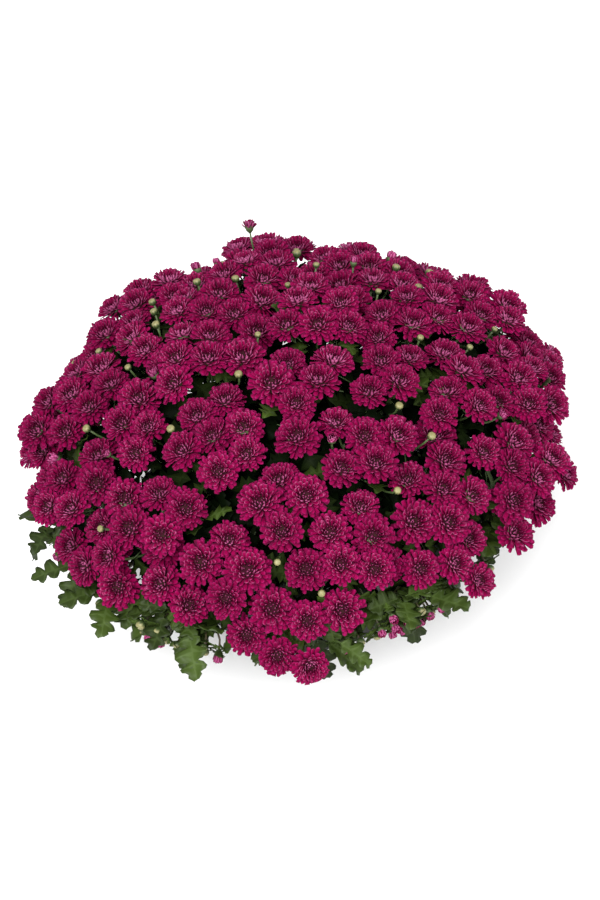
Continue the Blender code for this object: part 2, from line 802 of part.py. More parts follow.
def build_stems(bush, finish):
    rng = np.random.RandomState(SEED + 1)
    stalks = stalk_lines(bush)
    buds = grow_buds(bush, stalks, rng)
    for centre, _, hub in buds:
        stalks.append((bush.shoot[hub], sampled(np.array([bush.hubs[hub], centre]))))
    leaves = grow_leaves(bush, stalks, rng)
    for shoot in range(SHOOT_COUNT):
        shapes = stem_shapes(bush, shoot, leaves, buds)
        fused(f"leafy_stem_{shoot + 1:02d}", shapes, finish)


def build_blooms(bush, finish):
    """One solid for each spray. Each bloom turns a petal to the neighbour it is tied to."""
    rng = np.random.RandomState(SEED + 2)
    parent = dict(bush.links)
    for spray in range(SPRAY_COUNT):
        shapes = []
        for bloom in np.flatnonzero(bush.spray == spray):
            towards = bush.blooms[parent[bloom]] - bush.blooms[bloom] if bloom in parent else UP
            towards = towards + [0.001, 0, 0]
            centre, normal = bush.blooms[bloom], bush.normals[bloom]
            shapes.append(bloom_shape(centre, normal, bush.radii[bloom], towards, rng))
        fused(f"blooms_{spray + 1:02d}", shapes, finish)


def clear_scene():
    for thing in list(bpy.data.objects):
        bpy.data.objects.remove(thing, do_unlink=True)


def main():
    clear_scene()
    bush = with_leafy_foot(lay_out_bush())
    build_pot(finish_of("black plastic", (0.012, 0.012, 0.013), 0.5))
    build_soil(bush, finish_of("potting soil", (0.035, 0.022, 0.014), 0.95))
    build_stems(bush, finish_of("green stem and leaf", (0.055, 0.090, 0.028), 0.6))
    build_blooms(bush, finish_of("magenta petal", (0.210, 0.008, 0.060), 0.6))


main()
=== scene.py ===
"""Looks of a garden chrysanthemum in a pot: its petals, leaves, buds, stems, soil and pot.

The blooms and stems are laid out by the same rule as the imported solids, so each fine piece lies on
the solid that it stands for. Units are metres, +Z is up, and the bush faces -Y.
"""

import logging
import math
from dataclasses import dataclass
from dataclasses import replace
from enum import Enum
from enum import IntEnum
from functools import cache

import bpy
import numpy as np
from mathutils import Matrix
from mathutils import Vector


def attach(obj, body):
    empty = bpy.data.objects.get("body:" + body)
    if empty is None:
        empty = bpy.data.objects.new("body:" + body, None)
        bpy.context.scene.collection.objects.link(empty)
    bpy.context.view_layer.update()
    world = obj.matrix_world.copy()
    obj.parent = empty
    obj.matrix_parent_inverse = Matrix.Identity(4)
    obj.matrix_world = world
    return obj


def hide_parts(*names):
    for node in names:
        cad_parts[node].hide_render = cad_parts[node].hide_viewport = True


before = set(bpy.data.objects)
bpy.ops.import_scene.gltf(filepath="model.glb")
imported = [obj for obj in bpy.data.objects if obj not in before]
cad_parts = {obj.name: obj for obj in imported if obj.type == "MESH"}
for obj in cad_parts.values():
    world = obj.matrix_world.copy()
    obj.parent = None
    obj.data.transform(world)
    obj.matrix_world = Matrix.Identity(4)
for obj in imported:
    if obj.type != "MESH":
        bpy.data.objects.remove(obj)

Array = np.ndarray
Socket = bpy.types.NodeSocket
Material = bpy.types.Material
Rng = np.random.RandomState
Span = tuple[float, float]
Triple = tuple[float, float, float]
Numbers = tuple[float, ...]
Outline = tuple[Span, ...]
Places = tuple[Array, Array, Array]
Value = Socket | float | Numbers

log = logging.getLogger("chrysanthemum")

SEED = 18
GOLDEN_ANGLE = math.pi * (3 - math.sqrt(5))
UP = np.array([0.0, 0.0, 1.0])


def unit(vectors: Array) -> Array:
    """Each vector divided by its length."""
    return vectors / np.linalg.norm(vectors, axis=-1, keepdims=True)


def nearest(points: Array, centres: Array) -> Array:
    """Index of the centre nearest each point."""
    return np.linalg.norm(points[:, None] - centres[None], axis=-1).argmin(axis=1)


def middles(points: Array, group: Array, count: int) -> Array:
    """Mean of the points of each group."""
    return np.array([points[group == g].mean(axis=0) for g in range(count)])


def grouped(points: Array, count: int, centres: Array, rounds: int = 12) -> Array:
    """Group of each point, by centres that move to the middle of their own points.

    Args:
        points: points to group.
        count: number of groups.
        centres: where the centres start.
        rounds: how often they move.

    Returns:
        Group number of each point.
    """
    for _ in range(rounds):
        centres = middles(points, nearest(points, centres), count)
    return nearest(points, centres)


def sampled(path: Array, step: float = 0.004) -> Array:
    """Points along a path, a few millimetres apart."""
    found = [path[:1]]
    for a, b in zip(path[:-1], path[1:]):
        count = max(2, int(np.linalg.norm(b - a) / step))
        found.append(a + np.linspace(0, 1, count + 1)[1:, None] * (b - a))
    return np.vstack(found)


def smoothed(path: Array, count: int) -> Array:
    """Points on the smooth cubic curve that passes through each point of a path.

    Its slope at a point is half the way from the point before to the point after.

    Args:
        path: points that the curve passes through.
        count: number of points wanted.

    Returns:
        Points spaced evenly in each stretch of the path.
    """
    ends = np.vstack([2 * path[0] - path[1], path, 2 * path[-1] - path[-2]])
    share = np.linspace(0, len(path) - 1, count)
    k = np.minimum(share.astype(int), len(path) - 2)
    t = (share - k)[:, None]
    a, b, c, d = ends[k], ends[k + 1], ends[k + 2], ends[k + 3]
    bend = (2 * a - 5 * b + 4 * c - d) * t**2 + (3 * b - a - 3 * c + d) * t**3
    return 0.5 * (2 * b + (c - a) * t + bend)


def bent(root: Array, turn: Array, end: Array, count: int) -> Array:
    """Points on the curve of second degree from a root to an end, drawn to a turning point."""
    share = np.linspace(0, 1, count)[:, None]
    return (1 - share) ** 2 * root + 2 * share * (1 - share) * turn + share**2 * end


def swung(way: Array, turn: float) -> Array:
    """A level way turned left by an angle."""
    return math.cos(turn) * way + math.sin(turn) * np.cross(UP, way)


def square_to(axes: Array) -> tuple[Array, Array]:
    """Two unit vectors square to each axis and to each other, turning left round it."""
    helper = np.eye(3)[np.abs(axes).argmin(axis=-1)]
    side = unit(np.cross(axes, helper))
    return side, np.cross(axes, side)


@dataclass(frozen=True)
class Dome:
    """Flattened dome that the blooms lie on. Angles are from straight up, and azimuths from +X."""

    reach: float = 0.252
    height: float = 0.141
    drop: float = 0.080
    waist: float = 0.178
    lean: float = 0.035
    wave: float = 0.014
    wave_turn: float = 0.6
    low_edge: float = math.radians(81)
    edge_wave: float = math.radians(4)
    edge_dips: int = 5
    edge_turn: float = 1.0
    low_sparseness: float = 0.50
    front_crowding: float = 0.20
    table_rows: int = 400

    def radius(self, azimuth: Array) -> Array:
        """Radius at the waist, longer from back right to front left."""
        wave = self.lean * np.sin(2 * azimuth) + self.wave * np.cos(3 * azimuth - self.wave_turn)
        return self.reach * (1 + wave)

    def rise(self, polar: Array) -> Array:
        """Half height of the dome above or below its waist."""
        return np.where(polar < math.pi / 2, self.height, self.drop)

    def point(self, polar: Array, azimuth: Array) -> Array:
        """Point of the dome at an angle and an azimuth."""
        reach = self.radius(azimuth) * np.sin(polar)
        height = self.waist + self.rise(polar) * np.cos(polar)
        return np.stack([reach * np.cos(azimuth), reach * np.sin(azimuth), height], axis=-1)

    def angles(self, points: Array) -> tuple[Array, Array]:
        """Angle and azimuth of the dome point in line with each point."""
        azimuth = np.arctan2(points[:, 1], points[:, 0])
        reach = np.hypot(points[:, 0], points[:, 1]) / self.radius(azimuth)
        above = points[:, 2] - self.waist
        return np.arctan2(reach, above / np.where(above > 0, self.height, self.drop)), azimuth

    def lowest(self, azimuth: Array) -> Array:
        """Lowest angle of a spray's middle, which dips a few times round the bush."""
        return self.low_edge + self.edge_wave * np.cos(self.edge_dips * azimuth + self.edge_turn)

    def onto(self, points: Array) -> Array:
        """Points moved onto the dome, above its low edge."""
        polar, azimuth = self.angles(points)
        return self.point(np.minimum(polar, self.lowest(azimuth)), azimuth)

    def normals(self, points: Array) -> Array:
        """Outward direction of the dome in line with each point."""
        polar, azimuth = self.angles(points)
        across = self.rise(polar) * np.sin(polar)
        up = self.radius(azimuth) * np.cos(polar)
        return unit(np.stack([across * np.cos(azimuth), across * np.sin(azimuth), up], axis=-1))

    def spread(self, count: int) -> Array:
        """Points a golden angle apart, sparser at the foot and denser at the front."""
        polar = np.linspace(0, self.low_edge, self.table_rows)
        slope = np.hypot(self.reach * np.cos(polar), self.height * np.sin(polar))
        sparse = 1 - self.low_sparseness * (polar / self.low_edge) ** 2
        area = np.cumsum(np.sin(polar) * slope * sparse)
        share = (np.arange(count) + 0.5) / count
        polar = np.interp(share, area / area[-1], polar)
        azimuth = GOLDEN_ANGLE * np.arange(count)
        azimuth = azimuth - self.front_crowding * np.sin(polar) * np.sin(azimuth + math.pi / 2)
        return self.point(polar, azimuth)


@dataclass
class Bush:
    """Where everything grows: blooms, their sprays, and the stems and twigs under them."""

    blooms: Array
    normals: Array
    radii: Array
    spray: Array
    hubs: Array
    shoot: Array
    forks: Array
    feet: Array
    twigs: Array | None = None
    twig_shoot: Array | None = None


@dataclass(frozen=True)
class BushPlan:
    """The rule that lays out the blooms of the bush and the stems under them."""

    dome: Dome = Dome()
    blooms: int = 238
    sprays: int = 42
    shoots: int = 14
    radii: Span = (0.0188, 0.0218)
    gap: float = 0.0008
    flatness: float = 1.65
    link: Span = (0.78, 0.80)
    spray_curve: float = 0.150
    spray_lift: float = 0.009
    spreading: float = 0.06
    spread_reach: float = 1.35
    upturn: float = 0.40
    steps: int = 700
    nudge: float = 0.3
    pull: float = 0.5
    scatter: float = 0.005
    hub_depth: float = 0.048
    foot_share: float = 0.34
    fork_share: float = 0.56
    fork_clearance: float = 0.198
    soil_level: float = 0.152
    leafy_edge: float = math.radians(83)
    leafy_span: Span = (math.radians(-165), math.radians(-58))
    hanging_span: Span = (math.radians(-104), math.radians(-86))
    twig_share: float = 0.72

    def links(self, points: Array, spray: Array) -> Array:
        """Pairs (bloom, neighbour nearer the middle) that tie each spray's blooms together."""
        found = []
        for g in range(self.sprays):
            loose = list(np.flatnonzero(spray == g))
            middle = points[loose].mean(axis=0)
            loose.sort(key=lambda i: np.linalg.norm(points[i] - middle))
            joined = [loose.pop(0)]
            while loose:
                gaps = np.linalg.norm(points[loose][:, None] - points[joined][None], axis=-1)
                a, b = np.unravel_index(gaps.argmin(), gaps.shape)
                found.append((loose[a], joined[b]))
                joined.append(loose.pop(a))
        return np.array(found)

    def on_caps(self, points: Array, spray: Array, lift: Array) -> tuple[Array, Array, Array]:
        """Draws each spray's blooms to a shallow cap that faces out and up.

        Args:
            points: middles of the blooms.
            spray: spray of each bloom.
            lift: how far each spray stands out of the dome.

        Returns:
            The moved middles, the direction each bloom faces, and the one each spray faces.
        """
        centres = middles(points, spray, self.sprays)
        homes = self.dome.onto(centres - lift[:, None] * self.dome.normals(centres))
        outward = self.dome.normals(homes)
        faces = unit((1 - self.upturn) * outward + self.upturn * UP)
        homes = homes + lift[:, None] * outward
        points = points + self.pull * (homes - centres)[spray]
        offset = points - (centres + self.pull * (homes - centres))[spray]
        height = (offset * faces[spray]).sum(axis=1)
        flat = offset - height[:, None] * faces[spray]
        spread = (flat**2).sum(axis=1)
        level = middles(spread[:, None], spray, self.sprays)[spray, 0]
        wanted = (level - spread) / (2 * self.spray_curve)
        points = points + self.pull * (wanted - height)[:, None] * faces[spray]
        return points, unit(faces[spray] + flat / self.spray_curve), faces

    def settled(
        self, points: Array, spray: Array, radii: Array, links: Array, lift: Array
    ) -> tuple[Array, Array, Array]:
        """Nudges the blooms until linked ones overlap and all others are a hair apart.

        The distance between two blooms counts their difference in height more than the way
        across, because a bloom is flatter than a ball.

        Args:
            points: middles of the blooms.
            spray: spray of each bloom.
            radii: radius of each bloom.
            links: pairs of blooms that touch.
            lift: how far each spray stands out of the dome.

        Returns:
            The middles, the direction each bloom faces, and the one each spray faces.
        """
        count = len(points)
        linked = np.zeros((count, count), bool)
        linked[links[:, 0], links[:, 1]] = True
        linked |= linked.T
        same = spray[:, None] == spray[None]
        reach = radii[:, None] + radii[None]
        least = np.where(linked, self.link[0] * reach, reach + self.gap)
        np.fill_diagonal(least, 0)
        most = np.where(linked, self.link[1] * reach, np.inf)
        normals = self.dome.normals(points)
        faces = normals
        for _ in range(self.steps):
            away = points[:, None] - points[None]
            facing = unit(normals[:, None] + normals[None])
            height = (away * facing).sum(axis=-1, keepdims=True)
            away = away + (self.flatness - 1) * height * facing
            gap = np.linalg.norm(away, axis=-1) + np.eye(count)
            nudge = np.maximum(least - gap, 0) - np.maximum(gap - most, 0)
            spreading = self.spreading * np.maximum(self.spread_reach * reach - gap, 0)
            nudge = nudge + np.where(same, 0, spreading)
            points = points + self.nudge * ((nudge / gap)[:, :, None] * away).sum(axis=1)
            points, normals, faces = self.on_caps(points, spray, lift)
        return points, normals, faces

    def laid_out(self) -> Bush:
        """Blooms on the dome, a hub under each spray, and the feet and forks of the stems."""
        rng = np.random.RandomState(SEED)
        scatter = rng.normal(0, self.scatter, (self.blooms, 3))
        blooms = self.dome.onto(self.dome.spread(self.blooms) + scatter)
        spray = grouped(blooms, self.sprays, self.dome.spread(self.sprays))
        radii = rng.uniform(*self.radii, self.blooms)
        lift = rng.uniform(-self.spray_lift, self.spray_lift, self.sprays)
        links = self.links(blooms, spray)
        blooms, normals, faces = self.settled(blooms, spray, radii, links, lift)
        hubs = middles(blooms, spray, self.sprays) - self.hub_depth * faces
        shoot = grouped(hubs, self.shoots, self.dome.spread(self.shoots))
        heads = middles(hubs, shoot, self.shoots)
        root = np.array([0.0, 0.0, self.soil_level])
        forks = root + self.fork_share * (heads - root)
        forks[:, 2] = np.maximum(forks[:, 2], self.fork_clearance)
        feet = root + self.foot_share * (heads - root)
        feet[:, 2] = self.soil_level
        return self.with_leafy_foot(Bush(blooms, normals, radii, spray, hubs, shoot, forks, feet))

    def with_leafy_foot(self, bush: Bush) -> Bush:
        """The bush with a twig in place of each low front bloom, from its hub towards the bloom."""
        polar, azimuth = self.dome.angles(bush.blooms)
        front = (azimuth > self.leafy_span[0]) & (azimuth < self.leafy_span[1])
        hanging = (azimuth > self.hanging_span[0]) & (azimuth < self.hanging_span[1])
        bare = (polar > self.leafy_edge) & front & ~hanging
        roots = bush.hubs[bush.spray[bare]]
        tips = roots + self.twig_share * (bush.blooms[bare] - roots)
        return replace(
            bush,
            blooms=bush.blooms[~bare],
            normals=bush.normals[~bare],
            radii=bush.radii[~bare],
            spray=bush.spray[~bare],
            twigs=np.stack([roots, tips], axis=1),
            twig_shoot=bush.shoot[bush.spray[bare]],
        )


@dataclass
class LeafSpot:
    """Where one leaf grows and how it is bent. A root is where its own stalk leaves the stem."""

    base: Array
    along: Array
    side: Array
    length: float
    droop: float
    fold: float
    shoot: int
    root: Array | None = None


@dataclass
class BudSpot:
    """Where one bud or small flower sits, which way it faces and what its stalk leaves."""

    centre: Array
    normal: Array
    root: Array
    shoot: int
    width: float = 0.0048


@dataclass(frozen=True)
class LeafRule:
    """What the leaves of one kind are drawn from, each as its least and greatest value.

    A start is a share of the way along a stem, and a slope is the rise for a step outwards. A
    depth lies below the dome or the bud. Crowding is the share of a leaf that may lie in taken
    space.
    """

    lengths: Span
    droops: Span
    folds: Span
    slopes: Span = (0.0, 0.0)
    starts: Span = (0.0, 1.0)
    depths: Span = (0.0, 0.0)
    tries: int = 160
    crowding: float = 0.0

    def bends(self, rng: Rng) -> Span:
        """Droop and fold of one leaf."""
        return rng.uniform(*self.droops), rng.uniform(*self.folds)


SOLID_LEAF = LeafRule((0.040, 0.052), (0.05, 0.30), (0.10, 0.35), starts=(0.35, 1.0))
SKIRT_LEAF = LeafRule(
    lengths=(0.030, 0.050),
    droops=(0.05, 0.45),
    folds=(0.05, 0.40),
    slopes=(-1.1, 0.5),
    starts=(0.15, 1.0),
    tries=150,
    crowding=0.30,
)
SHALLOW_LEAF = LeafRule(
    lengths=(0.028, 0.046),
    droops=(0.0, 0.30),
    folds=(0.05, 0.35),
    slopes=(-0.05, 0.5),
    depths=(0.003, 0.030),
    tries=5500,
    crowding=0.16,
)
DEEP_LEAF = replace(SHALLOW_LEAF, lengths=(0.052, 0.070), depths=(0.026, 0.075), tries=620, crowding=0.34)
BRACT = LeafRule((0.012, 0.020), (0.0, 0.3), (0.1, 0.4), slopes=(0.1, 0.8), depths=(0.004, 0.009))


@dataclass(frozen=True)
class BudRule:
    """Most buds wanted, the least distance between two, and the polar angles that they lie in."""

    count: int
    spacing: float
    span: Span = (0.0, 1.3)


SOLID_BUDS = BudRule(6, 0.060)
UPPER_BUDS = BudRule(46, 0.028)
LOW_BUDS = BudRule(56, 0.012, (1.38, 1.80))
BUD_ROOM = 0.02
BRANCH_LEAVES = 14
TWIG_LEAVES = 3


class Room:
    """Cubes of space that leaves and buds already fill."""

    def __init__(self, cube: float = 0.0055, half: float = 0.36) -> None:
        """Args: cube: side of a cube. half: half the width of the space."""
        self.cube = cube
        self.half = half
        side = int(2 * half / cube) + 1
        self.taken = np.zeros((side, side, side), bool)

    def cells(self, points: Array) -> tuple[Array, ...]:
        """Index of the cube that holds each point."""
        return tuple(np.clip((points + self.half) / self.cube, 0, len(self.taken) - 1).astype(int).T)

    def share_taken(self, points: Array) -> float:
        """Share of the points that lie in a taken cube."""
        return float(self.taken[self.cells(points)].mean())

    def take(self, points: Array) -> None:
        """Marks the cubes that hold the points as taken."""
        self.taken[self.cells(points)] = True


class Growth:
    """Paths of stems, branches and stalks, and the places of leaves and buds on them."""

    STALK_SPACING = 0.007
    STALK_ROOM = 0.003
    HOLE_DEPTH = 0.040
    FIT_GAP = 0.0003
    STEM_EXPOSED = 0.004
    STEM_BEND = (0.38, 0.38, 0.62)
    BRANCH_ARCH = 0.10
    CALYX_DEPTH = 0.42
    CROWN_LIFT = 0.10
    POT_RIM = (0.140, 0.170)
    LOW_HUB = 0.200
    LEAF_ROOM = 0.0065
    LEAF_STEM_ROOM = 0.004
    BLOOM_ROOM = 0.0025
    BLOCK = 100
    STEM_BLOCK = 200
    BUD_TRIALS = 4000
    BUD_LIFT = 0.004
    LONE_PLACE = (0.98, math.radians(99))
    LONE_STALK = 0.034
    LONE_UPTURN = 0.6
    LONE_WIDTH = 0.0088
    BRACTS = 3
    LEAF_TILT = 0.35
    LEAF_FOOT = 0.35
    SKIRT_LIMIT = -0.003
    SKIRT_TURN = 1.5
    SKIRT_FACING = (-0.1, 0.7)
    SKIRT_SCATTER = 0.3
    LOWEST_GAP = math.radians(106)
    HEADING_SCATTER = 0.006
    FACING_SCATTER = 0.28
    LONGEST_STALK = 0.045
    FINE_BLOOM_ROOM = 0.0012
    FINE_POT_ROOM = 0.002
    TWIG_LIMITS = (1.2, (-0.9, 0.3))
    LOW_LIMITS = (1.5, (-0.9, 0.0))
    HIGH_LIMITS = (math.pi, (-0.2, 0.5))

    def __init__(self, bush: Bush, plan: BushPlan) -> None:
        """Works out every path. Args: bush: the layout. plan: the rule that made it."""
        self.bush = bush
        self.plan = plan
        self.middle_blooms = [self.middle_bloom(spray) for spray in range(plan.sprays)]
        self.stems = [self.stem_path(shoot) for shoot in range(plan.shoots)]
        self.branches = [self.branch_path(spray) for spray in range(plan.sprays)]
        self.lines = self.stalk_lines()

    def stalk_end(self, bloom: int) -> Array:
        """Top of the stalk under a bloom, a hair below its calyx."""
        depth = self.CALYX_DEPTH * self.bush.radii[bloom] + self.FIT_GAP
        return self.bush.blooms[bloom] - depth * self.bush.normals[bloom]

    def nearness(self, points: Array, margin: float, which: Array | slice = slice(None)) -> Array:
        """Distance from the nearest bloom as a share of the way to its surface and a margin.

        Args:
            points: points to measure from.
            margin: room wanted round a bloom.
            which: the blooms to look at.

        Returns:
            A share for each point, under one inside a bloom, which counts as a flat ball.
        """
        radii = self.bush.radii[which]
        normals = self.bush.normals[which]
        away = points[:, None] - self.bush.blooms[which][None]
        height = (away * normals[None]).sum(axis=-1) - self.CROWN_LIFT * radii
        across = np.sqrt(np.maximum((away**2).sum(axis=-1) - height**2, 0))
        wide = radii + margin
        thick = radii / self.plan.flatness + margin
        return np.hypot(across / wide, height / thick).min(axis=1)

    def middle_bloom(self, spray: int) -> int:
        """Bloom nearest the middle of its spray that the branch can run on to."""
        bush = self.bush
        members = np.flatnonzero(bush.spray == spray)
        middle = bush.blooms[members].mean(axis=0)
        order = members[np.linalg.norm(bush.blooms[members] - middle, axis=1).argsort()]
        others = bush.spray != spray
        lines = [sampled(np.array([bush.hubs[spray], self.stalk_end(i)])) for i in order]
        room = np.array([self.nearness(line, self.STALK_ROOM, others).min() for line in lines])
        return int(order[np.argmax(room > 1)] if (room > 1).any() else order[room.argmax()])

    def stem_path(self, shoot: int) -> Array:
        """Main stem from inside its hole in the soil, straight up and then leaning to its fork."""
        foot, fork = self.bush.feet[shoot], self.bush.forks[shoot]
        bottom = foot - (self.HOLE_DEPTH - self.FIT_GAP) * UP
        middle = foot + (fork - foot) * np.array(self.STEM_BEND)
        return np.array([bottom, foot + self.STEM_EXPOSED * UP, middle, fork])

    def branch_path(self, spray: int) -> Array:
        """Branch from its main stem to its hub, arched upwards, and on to its middle bloom."""
        bush = self.bush
        shoot = bush.shoot[spray]
        fork, hub = bush.forks[shoot], bush.hubs[spray]
        rank = list(np.flatnonzero(bush.shoot == shoot)).index(spray)
        below = fork - rank * self.STALK_SPACING * unit(fork - self.stems[shoot][-2])
        middle = 0.5 * (below + hub) + self.BRANCH_ARCH * np.linalg.norm(hub - below) * UP
        return np.array([below, middle, hub, self.stalk_end(self.middle_blooms[spray])])

    def stalk_lines(self) -> list[tuple[int, Array]]:
        """Shoot and points along every stem, branch and stalk, to keep leaves clear of them."""
        bush = self.bush
        lines = [(shoot, sampled(path)) for shoot, path in enumerate(self.stems)]
        for spray in range(self.plan.sprays):
            shoot = int(bush.shoot[spray])
            lines.append((shoot, sampled(self.branches[spray])))
            for bloom in np.flatnonzero(bush.spray == spray):
                path = np.array([bush.hubs[spray], self.stalk_end(bloom)])
                lines.append((shoot, sampled(path)))
        lines += [(int(shoot), sampled(twig)) for twig, shoot in zip(bush.twigs, bush.twig_shoot)]
        return lines

    def line_points(self, shoot: int, own: bool) -> Array:
        """Points of all lines of a shoot, or of all the others."""
        return np.vstack([line for owner, line in self.lines if (owner == shoot) == own])

    @staticmethod
    def near(points: Array, others: Array, distance: float) -> bool:
        """Whether any point is within a distance of any other."""
        gaps = np.linalg.norm(points[:, None] - others[None], axis=-1)
        return bool((gaps < distance).any())

    def in_pot(self, points: Array, margin: float) -> bool:
        """Whether any point is inside the pot or within a margin of it."""
        reach = np.hypot(points[:, 0], points[:, 1])
        rim, height = self.POT_RIM
        return bool(((reach < rim + margin) & (points[:, 2] < height + margin)).any())

    def gap_spots(self, rng: Rng, span: Span) -> tuple[Array, Array]:
        """Spots on the dome in a span of polar angles, and the way each faces.

        Those furthest from any bloom come first.
        """
        dome = self.plan.dome
        polar = np.arccos(rng.uniform(math.cos(span[1]), math.cos(span[0]), self.BUD_TRIALS))
        spots = dome.point(polar, rng.uniform(-math.pi, math.pi, self.BUD_TRIALS))
        normals = dome.normals(spots)
        spots = spots + self.BUD_LIFT * normals
        gaps = np.linalg.norm(spots[:, None] - self.bush.blooms[None], axis=-1) - self.bush.radii
        order = np.argsort(-gaps.min(axis=1))
        return spots[order], normals[order]

    def grow_buds(self, rng: Rng, rule: BudRule) -> list[BudSpot]:
        """Buds in the widest gaps between blooms, each with the hub that its stalk leaves.

        Args:
            rng: source of the trial spots.
            rule: how many, how far apart and where.

        Returns:
            The places of the buds.
        """
        buds: list[BudSpot] = []
        for spot, normal in zip(*self.gap_spots(rng, rule.span)):
            hub = int(nearest(spot[None], self.bush.hubs)[0])
            if any(np.linalg.norm(spot - bud.centre) < rule.spacing for bud in buds):
                continue
            line = sampled(np.array([self.bush.hubs[hub], spot]))[2:]
            shoot = int(self.bush.shoot[hub])
            if (self.nearness(line, self.BLOOM_ROOM) < 1).any():
                continue
            if self.near(line, self.line_points(shoot, False), self.LEAF_ROOM):
                continue
            buds.append(BudSpot(spot, normal, self.bush.hubs[hub], shoot))
            if len(buds) == rule.count:
                break
        return buds

    def lone_flower(self) -> BudSpot:
        """Half open flower on a long stalk, which stands clear above the back of the crown."""
        polar, azimuth = self.LONE_PLACE
        spot = self.plan.dome.point(np.array([polar]), np.array([azimuth]))
        hub = int(nearest(spot, self.bush.hubs)[0])
        way = unit(self.plan.dome.normals(spot)[0] + self.LONE_UPTURN * UP)
        top = spot[0] + self.LONE_STALK * way
        return BudSpot(top, way, self.bush.hubs[hub], int(self.bush.shoot[hub]), self.LONE_WIDTH)

    def bract_leaves(self, rng: Rng, buds: list[BudSpot]) -> list[LeafSpot]:
        """Small leaves close under each bud. Args: rng: source of angles. buds: the buds."""
        leaves = []
        for bud in buds:
            east, north = square_to(bud.normal[None])
            first = rng.uniform(0, 2 * math.pi)
            for k in range(self.BRACTS):
                turn = first + GOLDEN_ANGLE * k
                out = math.cos(turn) * east[0] + math.sin(turn) * north[0]
                along = unit(out + rng.uniform(*BRACT.slopes) * bud.normal)
                side = unit(np.cross(bud.normal, along))
                base = bud.centre - rng.uniform(*BRACT.depths) * bud.normal
                bends = BRACT.bends(rng)
                length = rng.uniform(*BRACT.lengths)
                leaves.append(LeafSpot(base, along, side, length, *bends, bud.shoot))
        return leaves

    def grow_leaves(self, rng: Rng, count: int, on_twig: int) -> list[LeafSpot]:
        """Leaves that the solids have, each tried at seeded angles until it is clear.

        Args:
            rng: source of the angles.
            count: most leaves wanted on branches.
            on_twig: leaves wanted on each twig.

        Returns:
            The places of the leaves.
        """
        bush = self.bush
        leaves: list[LeafSpot] = []
        taken: list[Array] = []
        for twig, shoot in zip(bush.twigs, bush.twig_shoot):
            for _ in range(on_twig):
                leaf = self.try_leaf(sampled(twig), int(shoot), self.TWIG_LIMITS, taken, rng)
                leaves += [leaf] if leaf is not None else []
        order = list(np.argsort(bush.hubs[:, 2]))
        low = [spray for spray in order if bush.hubs[spray][2] < self.LOW_HUB]
        count += len(leaves)
        while len(leaves) < count:
            before = len(leaves)
            for spray in low + order:
                limits = self.LOW_LIMITS if spray in low else self.HIGH_LIMITS
                path = sampled(self.branches[spray][:3])
                leaf = self.try_leaf(path, int(bush.shoot[spray]), limits, taken, rng)
                if leaf is not None and len(leaves) < count:
                    leaves.append(leaf)
            if len(leaves) == before:
                break
        return leaves

    def try_leaf(
        self, path: Array, shoot: int, limits: tuple[float, Span], taken: list[Array], rng: Rng
    ) -> LeafSpot | None:
        """One leaf on a path, clear of blooms, pot, other stems and leaves.

        Args:
            path: points along the branch or twig that it grows on.
            shoot: the shoot that the path belongs to.
            limits: the most that it turns from straight out, and its least and greatest slope.
            taken: sample points of the leaves so far, to which it adds its own.
            rng: source of the angles.

        Returns:
            The leaf's place, or None if every try touched something.
        """
        others, own = self.line_points(shoot, False), self.line_points(shoot, True)
        outward = unit(path[-1] * [1, 1, 0])
        widest, slopes = limits
        for _ in range(SOLID_LEAF.tries):
            base = path[int(rng.uniform(*SOLID_LEAF.starts) * (len(path) - 1))]
            turn = rng.uniform(-widest, widest)
            along = unit(swung(outward, turn) + rng.uniform(*slopes) * UP)
            side = unit(np.cross(UP, along) + rng.uniform(-self.LEAF_TILT, self.LEAF_TILT) * UP)
            side = unit(side - (side @ along) * along)
            length = rng.uniform(*SOLID_LEAF.lengths)
            leaf = LeafSpot(base, along, side, length, *SOLID_LEAF.bends(rng), shoot)
            points = leaf_samples([leaf])[0]
            outer = points[np.linalg.norm(points - base, axis=1) > self.LEAF_FOOT * length]
            if (self.nearness(points, self.BLOOM_ROOM) < 1).any():
                continue
            if self.in_pot(points, self.LEAF_STEM_ROOM):
                continue
            if self.near(points, others, self.LEAF_ROOM) or self.near(outer, own, self.LEAF_STEM_ROOM):
                continue
            if any(self.near(points, made, self.LEAF_ROOM) for made in taken):
                continue
            taken.append(points)
            return leaf
        return None

